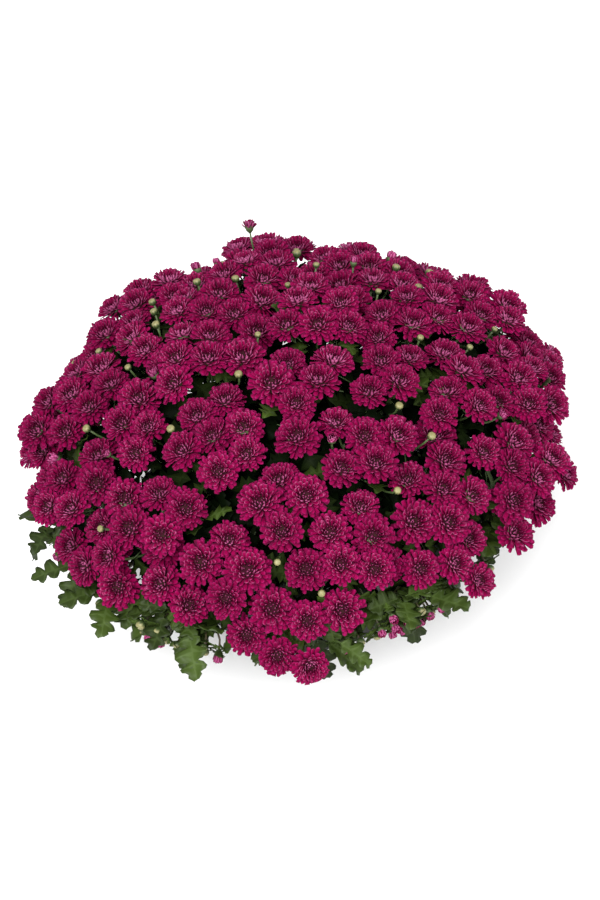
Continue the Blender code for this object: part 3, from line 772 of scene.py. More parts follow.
    def skirt_leaves(self, rng: Rng, room: Room) -> list[LeafSpot]:
        """Large leaves round the foot of the bush, which hang out over the rim of the pot.

        They grow on the twigs, and on the stalks of the lowest blooms.

        Args:
            rng: source of the angles.
            room: the space that is taken so far, which they add to.

        Returns:
            The places of the leaves.
        """
        bush, rule = self.bush, SKIRT_LEAF
        starts = [(twig[0], twig[1], int(shoot)) for twig, shoot in zip(bush.twigs, bush.twig_shoot)]
        low = np.flatnonzero(bush.blooms[:, 2] < self.LOW_HUB)
        for bloom in low:
            hub = bush.hubs[bush.spray[bloom]]
            starts.append((hub, self.stalk_end(bloom), int(bush.shoot[bush.spray[bloom]])))
        leaves: list[LeafSpot] = []
        for root, tip, shoot in starts:
            trial = []
            for _ in range(rule.tries):
                base = root + rng.uniform(*rule.starts) * (tip - root)
                outward = unit(base * [1, 1, 0])
                turn = rng.uniform(-self.SKIRT_TURN, self.SKIRT_TURN)
                along = unit(swung(outward, turn) + rng.uniform(*rule.slopes) * UP)
                facing = UP + rng.uniform(*self.SKIRT_FACING) * outward
                facing = facing + rng.normal(0, self.SKIRT_SCATTER, 3)
                side = unit(np.cross(facing, along))
                bends = rule.bends(rng)
                trial.append(LeafSpot(base, along, side, rng.uniform(*rule.lengths), *bends, shoot))
            depths = self.depths(trial, 1.0)
            trial = [leaf for leaf, deep in zip(trial, depths) if deep > self.SKIRT_LIMIT]
            leaves += self.clear_leaves(trial, room, rule.crowding)
        return leaves

    def gap_leaves(self, rng: Rng, room: Room, rule: LeafRule) -> list[LeafSpot]:
        """Leaves behind the gaps between blooms, each on a stalk from the nearest stem.

        A leaf lies some way inside the dome, its face outwards, and points away from its root.

        Args:
            rng: source of the spots and angles.
            room: the space that is taken so far, which they add to.
            rule: what the leaves are drawn from, with the depth of their middles.

        Returns:
            The places of the leaves.
        """
        dome, tries = self.plan.dome, rule.tries
        stems = np.vstack([line for _, line in self.lines])
        owner = np.concatenate([np.full(len(line), shoot) for shoot, line in self.lines])
        polar = np.arccos(rng.uniform(math.cos(self.LOWEST_GAP), 1, tries))
        spots = dome.point(polar, rng.uniform(-math.pi, math.pi, tries))
        outward = dome.normals(spots)
        spots = spots - rng.uniform(*rule.depths, (tries, 1)) * outward
        blocks = np.array_split(spots, max(1, tries // self.STEM_BLOCK))
        found = np.concatenate([nearest(block, stems) for block in blocks])
        roots = stems[found]
        away = spots - roots
        reach = np.linalg.norm(away, axis=1)
        flat = away - (away * outward).sum(axis=1, keepdims=True) * outward
        heading = unit(flat + rng.normal(0, self.HEADING_SCATTER, (tries, 3)))
        along = unit(heading + rng.uniform(*rule.slopes, (tries, 1)) * outward)
        facing = outward + rng.normal(0, self.FACING_SCATTER, (tries, 3))
        side = unit(np.cross(facing, along))
        length = rng.uniform(*rule.lengths, tries)
        droop, fold = rng.uniform(*rule.droops, tries), rng.uniform(*rule.folds, tries)
        base = spots - 0.5 * length[:, None] * along
        columns = (base, along, side, length, droop, fold, owner[found], roots)
        close = reach < self.LONGEST_STALK
        trial = [LeafSpot(*row) for row in zip(*(column[close] for column in columns))]
        return self.clear_leaves(trial, room, rule.crowding)

    def clear_leaves(self, trial: list[LeafSpot], room: Room, crowding: float) -> list[LeafSpot]:
        """The leaves of a trial that fit, in order. Each takes its room from the next."""
        kept = []
        for first in range(0, len(trial), self.BLOCK):
            block = trial[first : first + self.BLOCK]
            points = leaf_samples(block)
            shares = self.nearness(points.reshape(-1, 3), self.FINE_BLOOM_ROOM)
            free = (shares > 1).reshape(len(block), -1).all(axis=1)
            for leaf, spots, clear in zip(block, points, free):
                clear = clear and not self.in_pot(spots, self.FINE_POT_ROOM)
                if clear and room.share_taken(spots) <= crowding:
                    room.take(spots)
                    kept.append(leaf)
        return kept

    def depths(self, leaves: list[LeafSpot], share: float = 0.55) -> Array:
        """How far a point of each leaf lies below the dome. Args: share: the share of its length."""
        spots = np.array([leaf.base + share * leaf.length * leaf.along for leaf in leaves])
        dome = self.plan.dome
        surface = dome.point(*dome.angles(spots))
        return ((surface - spots) * dome.normals(spots)).sum(axis=1)


@dataclass(frozen=True)
class LeafForm:
    """Form of a lobed leaf. All but the wall are shares of its length.

    The edge runs from the stalk to the tip, as a share of the length and a half width.
    """

    edge: Outline = (
        (0.00, 0.014), (0.17, 0.018), (0.225, 0.130), (0.29, 0.210), (0.365, 0.200),
        (0.392, 0.085), (0.45, 0.185), (0.52, 0.285), (0.60, 0.305), (0.66, 0.250),
        (0.68, 0.105), (0.73, 0.195), (0.80, 0.245), (0.865, 0.215), (0.882, 0.110),
        (0.95, 0.135), (1.00, 0.055),
    )
    columns: Numbers = (-1.0, -0.5, 0.0, 0.5, 1.0)
    veins: Numbers = (0.29, 0.60, 0.80)
    forward: float = 0.40
    least_start: float = 0.35
    wave: float = 0.036
    wave_pitch: float = 19
    wave_offset: float = 2.2
    wave_start: float = 0.2
    vein_depth: float = 0.012
    wall: float = 0.0005


FINE_LEAF = LeafForm()
PLAIN_LEAF = LeafForm(
    edge=tuple(FINE_LEAF.edge[row] for row in (0, 2, 4, 5, 8, 10, 12, 14, 16)),
    columns=(-1.0, 0.0, 1.0),
)


def leaf_frames(leaves: list[LeafSpot]) -> tuple[Array, ...]:
    """Base, along, side, up, length, droop and fold of each leaf, ready for broadcasting."""
    base = np.array([leaf.base for leaf in leaves])[:, None, None]
    along = np.array([leaf.along for leaf in leaves])[:, None, None]
    side = np.array([leaf.side for leaf in leaves])[:, None, None]
    sizes = np.array([(leaf.length, leaf.droop, leaf.fold) for leaf in leaves])
    length, droop, fold = sizes.T[:, :, None, None, None]
    return base, along, side, np.cross(along, side), length, droop, fold


def leaf_points(leaves: list[LeafSpot], u: Array, v: Array) -> tuple[Array, Array]:
    """Leaf surface: it runs u lengths along and v lengths to the side of its midrib.

    It rises from the plane by the fold times the distance from the midrib, and falls by the
    droop times the square of the distance from the stalk.

    Args:
        leaves: the leaves.
        u: shares of the length along the leaf, as a grid.
        v: shares of the length to the side, as a grid of the same shape.

    Returns:
        Points (leaf, row, column, 3), and the direction square to each leaf.
    """
    base, along, side, up, length, droop, fold = leaf_frames(leaves)
    u, v = u[None, :, :, None], v[None, :, :, None]
    rise = fold * np.abs(v) - droop * u**2
    return base + length * (u * along + v * side + rise * up), up


def leaf_samples(leaves: list[LeafSpot]) -> Array:
    """Points over each blade, to test whether a leaf is clear of everything."""
    widest = 0.34
    u, v = np.meshgrid(np.linspace(0.2, 1.0, 9), np.linspace(-widest, widest, 7))
    half = np.interp(u, (0.0, 0.42, 0.72, 1.0), (0.03, 0.30, widest, 0.03))
    points, _ = leaf_points(leaves, u, v)
    return points[:, np.abs(v) <= half]


@dataclass
class Shell:
    """Points, faces and marks of closed surfaces that share one finish.

    A mark is (share along, share across, layer) of the petal, leaf or stem that a point is on,
    and a tone is a random number for each of them, which for leaves also falls with depth as
    painted shade.
    """

    points: Array
    marks: Array
    tones: Array
    quads: Array
    tris: Array
    finish: int = 0

    @classmethod
    def copies(
        cls, points: Array, marks: Array, tones: Array, faces: tuple[Array, Array], finish: int = 0
    ) -> "Shell":
        """Joins many surfaces of one pattern of faces.

        Args:
            points: points as (surface, point, 3).
            marks: marks that broadcast to the same shape.
            tones: one tone for each surface.
            faces: four-sided and three-sided faces of one surface.
            finish: number of the finish.

        Returns:
            One shell with all the surfaces.
        """
        count, size = points.shape[:2]
        start = size * np.arange(count)[:, None, None]
        quads, tris = faces
        return cls(
            points.reshape(-1, 3),
            np.broadcast_to(marks, points.shape).reshape(-1, 3),
            np.repeat(tones, size),
            (quads[None] + start).reshape(-1, 4),
            (tris[None] + start).reshape(-1, 3),
            finish,
        )


def sleeve(rings: int, sides: int) -> tuple[Array, Array]:
    """Faces of rings of points joined end to end and closed by a point at each end.

    Points are the first end, then ring after ring turning left round the way on, then the last.

    Args:
        rings: number of rings.
        sides: points in each.

    Returns:
        Four-sided faces between rings and three-sided faces at the ends.
    """
    k = np.arange(sides)
    after = (k + 1) % sides
    ring = 1 + sides * np.arange(rings - 1)[:, None]
    quads = np.stack([ring + k, ring + after, ring + sides + after, ring + sides + k], axis=-1)
    top, last = 1 + sides * (rings - 1), 1 + sides * rings
    start = np.stack([np.zeros_like(k), 1 + after, 1 + k], axis=-1)
    end = np.stack([np.full_like(k, last), top + k, top + after], axis=-1)
    return quads.reshape(-1, 4), np.vstack([start, end])


def blade_faces(rows: int, columns: int) -> tuple[Array, Array]:
    """Faces of a thin closed blade: a grid above, the same grid below, and a rim between."""
    grid = np.arange(rows * columns).reshape(rows, columns)
    a, b, c, d = grid[:-1, :-1], grid[1:, :-1], grid[1:, 1:], grid[:-1, 1:]
    top = np.stack([a, b, c, d], axis=-1).reshape(-1, 4)
    under = top[:, ::-1] + rows * columns
    edge = np.concatenate([grid[0, :-1], grid[:-1, -1], grid[-1, :0:-1], grid[:0:-1, 0]])
    onward = np.roll(edge, -1)
    rim = np.stack([edge, onward, onward + rows * columns, edge + rows * columns], axis=-1)
    return np.vstack([top, under, rim]), np.zeros((0, 3), int)


def tubes(paths: Array, radii: Array, sides: int, tones: Array, finish: int) -> Shell:
    """Closed tubes: round each point of a path, a ring of its radius square to the way.

    Args:
        paths: points as (tube, point, 3).
        radii: radius at each point, which broadcasts to (tube, point).
        sides: points in each ring.
        tones: one tone for each tube.
        finish: number of the finish.

    Returns:
        One shell with all the tubes. Their marks hold the share of the way along.
    """
    ways = unit(np.gradient(paths, axis=1))
    chord = unit(paths[:, -1] - paths[:, 0])
    helper = np.eye(3)[np.abs(chord).argmin(axis=1)][:, None]
    side = unit(np.cross(ways, helper))
    up = np.cross(ways, side)
    turn = 2 * math.pi * np.arange(sides) / sides
    ring = np.cos(turn)[:, None] * side[:, :, None] + np.sin(turn)[:, None] * up[:, :, None]
    wide = np.broadcast_to(radii, paths.shape[:2])[:, :, None, None]
    count, size = paths.shape[:2]
    body = (paths[:, :, None] + wide * ring).reshape(count, -1, 3)
    points = np.concatenate([paths[:, :1], body, paths[:, -1:]], axis=1)
    share = np.repeat(np.linspace(0, 1, size), sides)
    share = np.concatenate([[0], share, [1]])
    marks = np.stack([share, np.zeros_like(share), np.zeros_like(share)], axis=-1)
    return Shell.copies(points, marks, tones, sleeve(size, sides), finish)


def turned(
    places: Places, profile: Outline, sides: int, tones: Array, finish: int = 0, rib: float = 0.0
) -> Shell:
    """Closed turned shapes: a profile of (radius, height) carried round an axis.

    With ribs, the radius of every second point of a ring is smaller by the share of a rib.

    Args:
        places: middle of each shape, the way it stands and the size of one unit of its profile.
        profile: radii and heights from the foot to the top, both ends on the axis.
        sides: points in each ring.
        tones: one tone for each shape.
        finish: number of the finish.
        rib: depth of the ribs as a share of the radius.

    Returns:
        One shell. Its marks hold the share of the way up, and the share of the way round.
    """
    centres, axes, sizes = places
    side, up = square_to(axes)
    turn = 2 * math.pi * np.arange(sides) / sides
    wide = 1 - rib * (np.arange(sides) % 2)
    ring = (wide * np.cos(turn))[:, None] * side[:, None] + (wide * np.sin(turn))[:, None] * up[:, None]
    profile = np.array(profile)
    inner = profile[1:-1]
    body = inner[None, :, 0, None, None] * ring[:, None]
    body = body + inner[None, :, 1, None, None] * axes[:, None, None]
    ends = profile[[0, -1], 1][None, :, None] * axes[:, None]
    body = body.reshape(len(centres), -1, 3)
    local = np.concatenate([ends[:, :1], body, ends[:, 1:]], axis=1)
    points = centres[:, None] + sizes[:, None, None] * local
    low, high = profile[0, 1], profile[-1, 1]
    height = np.concatenate([[low], np.repeat(inner[:, 1], sides), [high]])
    share = (height - low) / (high - low)
    around = np.concatenate([[0], np.tile(turn / (2 * math.pi), len(inner)), [0]])
    marks = np.stack([share, around, np.zeros_like(share)], axis=-1)
    return Shell.copies(points, marks, tones, sleeve(len(inner), sides), finish)


def leaf_shell(leaves: list[LeafSpot], tones: Array, finish: int, form: LeafForm) -> Shell:
    """Lobed leaves with forward-pointing lobes, sunken veins and slightly waved edges.

    A row of the grid runs from the midrib forward to a point of the edge. Its points lie at even
    shares of that way. Rows that end at the tip of a lobe are veins and lie lower.

    Args:
        leaves: the places of the leaves.
        tones: one tone for each.
        finish: number of the finish.
        form: their form.

    Returns:
        One shell. Its marks hold the share along, the side and how much of a vein a point is,
        with 2 added behind.
    """
    edge, columns = np.array(form.edge), np.array(form.columns)[None]
    reach, half = edge[:, :1], edge[:, 1:]
    root = np.maximum(reach - form.forward * half, form.least_start * reach)
    root = np.maximum.accumulate(root)
    u = root + (reach - root) * np.abs(columns)
    v = half * columns
    surface, up = leaf_points(leaves, u, v)
    vein = np.maximum(np.isin(reach, form.veins) * 1.0, columns == 0)
    wave = np.sin(form.wave_pitch * u + form.wave_offset * np.sign(columns))
    wave = form.wave * wave * np.abs(columns) * (u > form.wave_start)
    relief = (wave - form.vein_depth * vein)[None, :, :, None] * leaf_frames(leaves)[4]
    surface = surface + relief * up
    half_wall = 0.5 * form.wall * up
    sides = [side.reshape(len(leaves), -1, 3) for side in (surface + half_wall, surface - half_wall)]
    marks = np.stack([u, np.broadcast_to(columns, u.shape), vein], axis=-1).reshape(-1, 3)
    marks = np.vstack([marks, marks + [0, 0, 2]])
    return Shell.copies(np.concatenate(sides, axis=1), marks, tones, blade_faces(*u.shape), finish)


@dataclass(frozen=True)
class PetalLayers:
    """How the petals of a double flower change from the outermost, 0, to the heart, 1.

    Lengths are shares of the flower's radius. Reach and rise are those of a petal's tip, and
    bend is the angle that it turns upwards from root to tip.
    """

    count: int = 117
    share: Numbers = (0.0, 0.22, 0.40, 0.58, 0.74, 0.87, 1.0)
    reach: Numbers = (1.03, 0.97, 0.86, 0.70, 0.51, 0.31, 0.07)
    rise: Numbers = (-0.10, 0.08, 0.27, 0.43, 0.53, 0.50, 0.36)
    bend: Numbers = (-40, -24, -2, 26, 58, 82, 88)
    width: Numbers = (0.124, 0.124, 0.122, 0.112, 0.090, 0.066, 0.044)
    root_reach: Numbers = (0.22, 0.20, 0.18, 0.17, 0.17, 0.14, 0.03)
    root_rise: Numbers = (-0.18, -0.12, -0.05, 0.01, 0.06, 0.08, 0.08)
    cup: float = 0.22
    rings: Numbers = (0.05, 0.58, 0.94)
    widths: Numbers = (0.36, 0.98, 0.82)
    tip_share: Span = (0.93, 1.05)
    wall: float = 0.016
    angle_jitter: float = 0.13
    size_jitter: float = 0.085
    rise_jitter: float = 0.045
    bend_jitter: float = 16
    twist: float = 0.55
    sway: float = 0.07
    fullness: Span = (0.86, 1.22)
    least_bend: float = 0.02
    behind: Numbers = (0.7, 0.0, 0.7, 2.0)
    flower_tone: float = 0.6


FULL_BLOOM = PetalLayers()
HALF_OPEN = PetalLayers(
    count=44,
    reach=(1.00, 0.88, 0.72, 0.54, 0.38, 0.24, 0.08),
    rise=(0.30, 0.56, 0.76, 0.86, 0.88, 0.82, 0.70),
    bend=(14, 30, 42, 48, 54, 62, 72),
    width=(0.19, 0.18, 0.17, 0.15, 0.12, 0.10, 0.08),
    root_rise=(-0.20, -0.16, -0.12, -0.06, 0.02, 0.10, 0.15),
)
OPENING_BUD = PetalLayers(
    count=24,
    reach=(0.66, 0.60, 0.52, 0.42, 0.32, 0.20, 0.06),
    rise=(0.74, 0.92, 1.04, 1.10, 1.10, 1.04, 0.95),
    bend=(44, 48, 50, 52, 54, 56, 60),
    width=(0.30, 0.28, 0.26, 0.24, 0.20, 0.16, 0.12),
    root_rise=(-0.30, -0.26, -0.22, -0.16, -0.08, 0.0, 0.1),
    twist=0.25,
)


def petal_shell(layers: PetalLayers, places: Places, rng: Rng) -> Shell:
    """Petals of flowers, a golden angle apart, each an arc of a circle from root to tip.

    A petal's layer is its number as a share of the count, raised to the flower's fullness.

    At a share t along, the way of a petal in the plane through the flower's axis has turned by
    t times its bend, so its reach is the root's plus the radius of the arc times the growth of
    the sine, and its height falls with the growth of the cosine. It sways to one side with the
    square of t. Across, a petal is cupped: its edges stand above its middle.

    Args:
        layers: form of the petals from the outermost to the heart.
        places: middle of each flower, the way it faces and its radius.
        rng: source of small differences between petals.

    Returns:
        One shell. Its marks hold the share along, the side with 2 added behind, and the layer.
    """
    centres, normals, radii = places
    flowers, count = len(centres), layers.count
    shape = (flowers, count)
    fullness = rng.uniform(*layers.fullness, (flowers, 1))
    order = ((np.arange(count) + 0.5) / count) ** fullness

    def at(values: Numbers) -> Array:
        """Value of a table at each petal's layer."""
        return np.interp(order, layers.share, values)

    size = 1 + layers.size_jitter * rng.uniform(-1, 1, shape)
    root = np.stack([at(layers.root_reach), at(layers.root_rise)], axis=-1)
    tip_rise = at(layers.rise) + layers.rise_jitter * rng.uniform(-1, 1, shape)
    tip = np.stack([at(layers.reach) * size, tip_rise], axis=-1)
    bend = np.radians(at(layers.bend) + layers.bend_jitter * rng.uniform(-1, 1, shape))
    bend = np.where(np.abs(bend) < layers.least_bend, layers.least_bend, bend)
    chord = tip - root
    start = np.arctan2(chord[..., 1], chord[..., 0]) - bend / 2
    arc = np.linalg.norm(chord, axis=-1) / (2 * np.sin(bend / 2))

    share = np.broadcast_to(np.array((*layers.rings, 1.0)), (*shape, len(layers.rings) + 1)).copy()
    share[..., -1] = rng.uniform(*layers.tip_share, shape)
    angle = start[..., None] + bend[..., None] * share
    reach = root[..., :1] + arc[..., None] * (np.sin(angle) - np.sin(start)[..., None])
    rise = root[..., 1:] - arc[..., None] * (np.cos(angle) - np.cos(start)[..., None])

    turn = GOLDEN_ANGLE * np.arange(count) + layers.angle_jitter * rng.uniform(-1, 1, shape)
    turn = turn + rng.uniform(0, 2 * math.pi, (flowers, 1))
    east, north = square_to(normals)
    out = np.cos(turn)[..., None] * east[:, None] + np.sin(turn)[..., None] * north[:, None]
    axis = np.broadcast_to(normals[:, None], out.shape)
    left = np.cross(out, axis)

    sway = layers.sway * rng.uniform(-1, 1, shape)[..., None] * share**2
    spine = reach[..., None] * out[:, :, None] + rise[..., None] * axis[:, :, None]
    spine = spine + sway[..., None] * left[:, :, None]
    above = -np.sin(angle)[..., None] * out[:, :, None] + np.cos(angle)[..., None] * axis[:, :, None]
    twist = layers.twist * rng.uniform(-1, 1, shape)[..., None, None]
    side = -left[:, :, None] * np.cos(twist) + above * np.sin(twist)
    above = above * np.cos(twist) + left[:, :, None] * np.sin(twist)

    half = at(layers.width)[..., None, None] * np.array(layers.widths)[:, None] * size[..., None, None]
    wall = layers.wall
    corners = np.array([(1, layers.cup, 0), (0, 0, wall), (-1, layers.cup, 0), (0, 0, -wall)])
    across = corners[:, 0, None] * side[:, :, :-1, None]
    lift = (corners[:, 1, None] * half[..., None, :] + corners[:, 2, None]) * above[:, :, :-1, None]
    body = spine[:, :, :-1, None] + half[..., None, :] * across + lift
    body = body.reshape(flowers, count, -1, 3)
    ends = np.concatenate([spine[:, :, :1], body, spine[:, :, -1:]], axis=2)
    points = centres[:, None, None] + radii[:, None, None, None] * ends

    rings = len(layers.rings)
    along = np.concatenate([[0], np.repeat(layers.rings, 4), [1]])
    behind = np.concatenate([[1], np.tile(layers.behind, rings), layers.behind[:1]])
    marks = np.zeros((flowers, count, len(along), 3))
    marks[..., 0] = along
    marks[..., 1] = behind
    marks[..., 2] = order[..., None]
    tones = layers.flower_tone * rng.uniform(0, 1, (flowers, 1))
    tones = np.clip(tones + rng.uniform(0, 1 - layers.flower_tone, shape), 0, 1)
    return Shell.copies(
        points.reshape(flowers * count, -1, 3),
        marks.reshape(flowers * count, -1, 3),
        tones.reshape(-1),
        sleeve(rings, 4),
    )


def placed(spots: list[BudSpot]) -> Places:
    """Middle, way and width of each spot."""
    columns = zip(*((spot.centre, spot.normal, spot.width) for spot in spots))
    centres, ways, widths = (np.array(column) for column in columns)
    return centres, ways, widths


def linked(name: str, data: bpy.types.ID) -> bpy.types.Object:
    """New object in the scene. Args: name: its name. data: its mesh, lamp or camera."""
    made = bpy.data.objects.new(name, data)
    bpy.context.scene.collection.objects.link(made)
    return made


def build_piece(
    name: str, shells: list[Shell], finishes: list[Material], replaced: str = ""
) -> None:
    """Makes one object of shells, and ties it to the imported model.

    Args:
        name: name of the piece.
        shells: its surfaces.
        finishes: its materials, which the shells' finish numbers pick from.
        replaced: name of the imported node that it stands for, if any.
    """
    starts = np.cumsum([0] + [len(shell.points) for shell in shells])
    quads = np.vstack([s.quads + k for s, k in zip(shells, starts)])
    tris = np.vstack([s.tris + k for s, k in zip(shells, starts)])
    mesh = bpy.data.meshes.new(name)
    points = np.vstack([s.points for s in shells])
    mesh.from_pydata(points.astype(np.float32), [], quads.tolist() + tris.tolist())
    numbers = [np.full(len(s.quads), s.finish) for s in shells]
    numbers += [np.full(len(s.tris), s.finish) for s in shells]
    mesh.polygons.foreach_set("material_index", np.concatenate(numbers).astype(np.int32))
    mesh.polygons.foreach_set("use_smooth", np.ones(len(mesh.polygons), bool))
    marks = mesh.attributes.new("mark", "FLOAT_VECTOR", "POINT")
    marks.data.foreach_set("vector", np.vstack([s.marks for s in shells]).astype(np.float32).ravel())
    tones = mesh.attributes.new("tone", "FLOAT", "POINT")
    tones.data.foreach_set("value", np.concatenate([s.tones for s in shells]).astype(np.float32))
    mesh.update()
    for finish in finishes:
        mesh.materials.append(finish)
    made = linked(name, mesh)
    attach(made, "root")
    if replaced:
        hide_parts(replaced)
    count = 2 * len(quads) + len(tris)
    log.info("%s: %d triangles%s", name, count, f", for {replaced}" if replaced else "")


class Graph:
    """Short ways to add and join the nodes of one material or group."""

    NOISE_ROUGHNESS = 0.55

    def __init__(self, tree: bpy.types.NodeTree) -> None:
        """Args: tree: the node tree to add to."""
        self.tree = tree

    def put(self, socket: Socket, value: Value) -> None:
        """Links a socket to another, or sets its value."""
        if isinstance(value, bpy.types.NodeSocket):
            self.tree.links.new(value, socket)
        elif isinstance(value, tuple) and len(value) == 3 and socket.type == "RGBA":
            socket.default_value = (*value, 1)
        else:
            socket.default_value = value

    def add(self, kind: str, inputs: dict | None = None, **settings: object) -> bpy.types.Node:
        """Adds a node.

        Args:
            kind: its type.
            inputs: values of its sockets by name or number.
            settings: its options.

        Returns:
            The node.
        """
        node = self.tree.nodes.new(kind)
        for name, value in settings.items():
            setattr(node, name, value)
        for name, value in (inputs or {}).items():
            self.put(node.inputs[name], value)
        return node

    def math(self, operation: str, *values: Socket | float, clamp: bool = False) -> Socket:
        """Result of an operation on its numbers."""
        inputs = dict(enumerate(values))
        return self.add("ShaderNodeMath", inputs, operation=operation, use_clamp=clamp).outputs[0]

    def times(self, a: Socket | float, b: Socket | float) -> Socket:
        """Product of two numbers."""
        return self.math("MULTIPLY", a, b)

    def plus(self, a: Socket | float, b: Socket | float) -> Socket:
        """Sum of two numbers."""
        return self.math("ADD", a, b)

    def mix(self, share: Value, a: Value, b: Value, blend: str = "MIX") -> Socket:
        """Colour between two, or two blended by a share."""
        inputs = {0: share, 6: a, 7: b}
        settings = {"data_type": "RGBA", "blend_type": blend, "clamp_factor": True}
        return self.add("ShaderNodeMix", inputs, **settings).outputs[2]

    def step(self, value: Socket, low: float, high: float, *ends: float) -> Socket:
        """Smooth step between two ends, 0 and 1 if none are given, as a value goes up."""
        first, last = ends or (0, 1)
        limits = {0: value, 1: low, 2: high, 3: first, 4: last}
        return self.add("ShaderNodeMapRange", limits, interpolation_type="SMOOTHSTEP").outputs[0]

    def noise(self, vector: Socket, scale: Socket | float, detail: float) -> Socket:
        """Cloudy noise from 0 to 1."""
        inputs = {"Vector": vector, "Scale": scale, "Detail": detail, "Roughness": self.NOISE_ROUGHNESS}
        return self.add("ShaderNodeTexNoise", inputs).outputs[0]

    def parts(self, vector: Socket) -> tuple[Socket, Socket, Socket]:
        """The three numbers of a vector."""
        x, y, z = self.add("ShaderNodeSeparateXYZ", {0: vector}).outputs
        return x, y, z

    def mark(self) -> Socket:
        """The vector mark of the surface."""
        return self.add("ShaderNodeAttribute", attribute_name="mark").outputs["Vector"]

    def tone(self) -> Socket:
        """The tone of the petal, leaf or stem."""
        return self.add("ShaderNodeAttribute", attribute_name="tone").outputs["Fac"]

    def mottled(self, place: Socket, scale: float, sharp: float, low: Value, high: Value) -> Socket:
        """Colour of the mottle group placed with these values."""
        values = {"Vector": place, "Scale": scale, "Sharpness": sharp}
        values |= {"Low colour": low, "High colour": high}
        return self.add("ShaderNodeGroup", values, node_tree=mottle_group()).outputs["Color"]

    def grain(self, place: Socket, coarse: float, fine: float, share: float) -> Socket:
        """Height of the relief group placed with these values."""
        values = {"Vector": place, "Coarse scale": coarse, "Fine scale": fine, "Fine share": share}
        return self.add("ShaderNodeGroup", values, node_tree=relief_group()).outputs["Height"]


def start_group(name: str, inputs: dict[str, str], outputs: dict[str, str]) -> tuple:
    """New shader group with its sockets.

    Args:
        name: the group's name.
        inputs: name and kind of each input: Float, Vector or Color.
        outputs: the same for each output.

    Returns:
        Its graph, its input values and the sockets of its results.
    """
    group = bpy.data.node_groups.new(name, "ShaderNodeTree")
    for direction, sockets in (("INPUT", inputs), ("OUTPUT", outputs)):
        for label, kind in sockets.items():
            group.interface.new_socket(label, in_out=direction, socket_type=f"NodeSocket{kind}")
    source = group.nodes.new("NodeGroupInput").outputs
    return Graph(group), source, group.nodes.new("NodeGroupOutput").inputs


@cache
def mottle_group() -> bpy.types.NodeTree:
    """Group that mixes two colours by cloudy noise, built once."""
    inputs = {"Vector": "Vector", "Scale": "Float", "Sharpness": "Float"}
    inputs |= {"Low colour": "Color", "High colour": "Color"}
    graph, source, out = start_group("mottle", inputs, {"Color": "Color"})
    cloud = graph.noise(source["Vector"], source["Scale"], 4.0)
    middle = graph.math("SUBTRACT", cloud, 0.5)
    mask = graph.math("MULTIPLY_ADD", middle, source["Sharpness"], 0.5, clamp=True)
    graph.put(out["Color"], graph.mix(mask, source["Low colour"], source["High colour"]))
    return graph.tree


@cache
def relief_group() -> bpy.types.NodeTree:
    """Group that adds the heights of coarse and fine grain, built once."""
    inputs = {"Vector": "Vector", "Coarse scale": "Float", "Fine scale": "Float", "Fine share": "Float"}
    graph, source, out = start_group("relief", inputs, {"Height": "Float"})
    coarse = graph.noise(source["Vector"], source["Coarse scale"], 4.0)
    fine = graph.noise(source["Vector"], source["Fine scale"], 2.0)
    graph.put(out["Height"], graph.plus(coarse, graph.times(fine, source["Fine share"])))
    return graph.tree


@cache
def petal_group() -> bpy.types.NodeTree:
    """Group for the colour and ribs of a petal, from its marks.

    The colour goes from the throat colour, painted shade at the root, to the blade with the share
    along, to the rim colour near tip and edges, a paler edge that is partly a painted highlight,
    to the heart colour with the layer, and to the back colour behind. The rims of the short petals
    round the heart have the back colour too, partly as a painted highlight.
    """
    inputs = {"Mark": "Vector", "Tone": "Float", "Vector": "Vector"}
    inputs |= {name: "Color" for name in ("Throat shade", "Blade", "Rim and highlight", "Heart", "Back")}
    graph, source, out = start_group("petal", inputs, {"Color": "Color", "Height": "Float"})
    along, behind, layer = graph.parts(source["Mark"])
    cloud = graph.noise(source["Vector"], 190.0, 3.0)
    # Painted shade: the throat colour darkens each petal towards its root.
    colour = graph.mix(graph.step(along, 0.05, 0.60), source["Throat shade"], source["Blade"])

    # The rim near tips and edges is partly the petal's paler edge and partly a painted highlight.
    edge = graph.math("MAXIMUM", graph.step(behind, 0.30, 0.75), graph.step(along, 0.86, 1.0))
    rim = graph.times(edge, graph.step(along, 0.30, 0.90))
    rim = graph.times(rim, graph.step(cloud, 0.35, 0.65, 0.45, 0.95))
    silver = graph.times(graph.step(layer, 0.40, 0.66), graph.step(layer, 0.84, 0.95, 1.0, 0.0))
    silver = graph.times(silver, graph.step(source["Tone"], 0.1, 0.9, 0.35, 0.95))
    pale_rim_and_highlight = graph.mix(silver, source["Rim and highlight"], source["Back"])
    colour = graph.mix(graph.times(rim, 0.80), colour, pale_rim_and_highlight)

    low = graph.math("SUBTRACT", 1.0, graph.times(graph.step(along, 0.80, 1.0), 0.55))
    inner = graph.times(graph.step(layer, 0.78, 0.97), low)
    colour = graph.mix(inner, colour, source["Heart"])
    pale = graph.times(graph.step(behind, 0.75, 1.9), 0.75)
    colour = graph.mix(pale, colour, source["Back"])

    shade = graph.plus(graph.times(source["Tone"], 0.34), 0.80)
    shade = graph.plus(shade, graph.times(graph.math("SUBTRACT", cloud, 0.5), 0.5))
    grey = graph.add("ShaderNodeCombineColor", {0: shade, 1: shade, 2: shade}).outputs[0]
    graph.put(out["Color"], graph.mix(1.0, colour, grey, "MULTIPLY"))
    rib = graph.math("SINE", graph.times(behind, 16.0))
    graph.put(out["Height"], graph.plus(rib, cloud))
    return graph.tree


def brighter(colour: Triple, factor: float) -> Triple:
    """A colour times a factor."""
    red, green, blue = (factor * part for part in colour)
    return red, green, blue


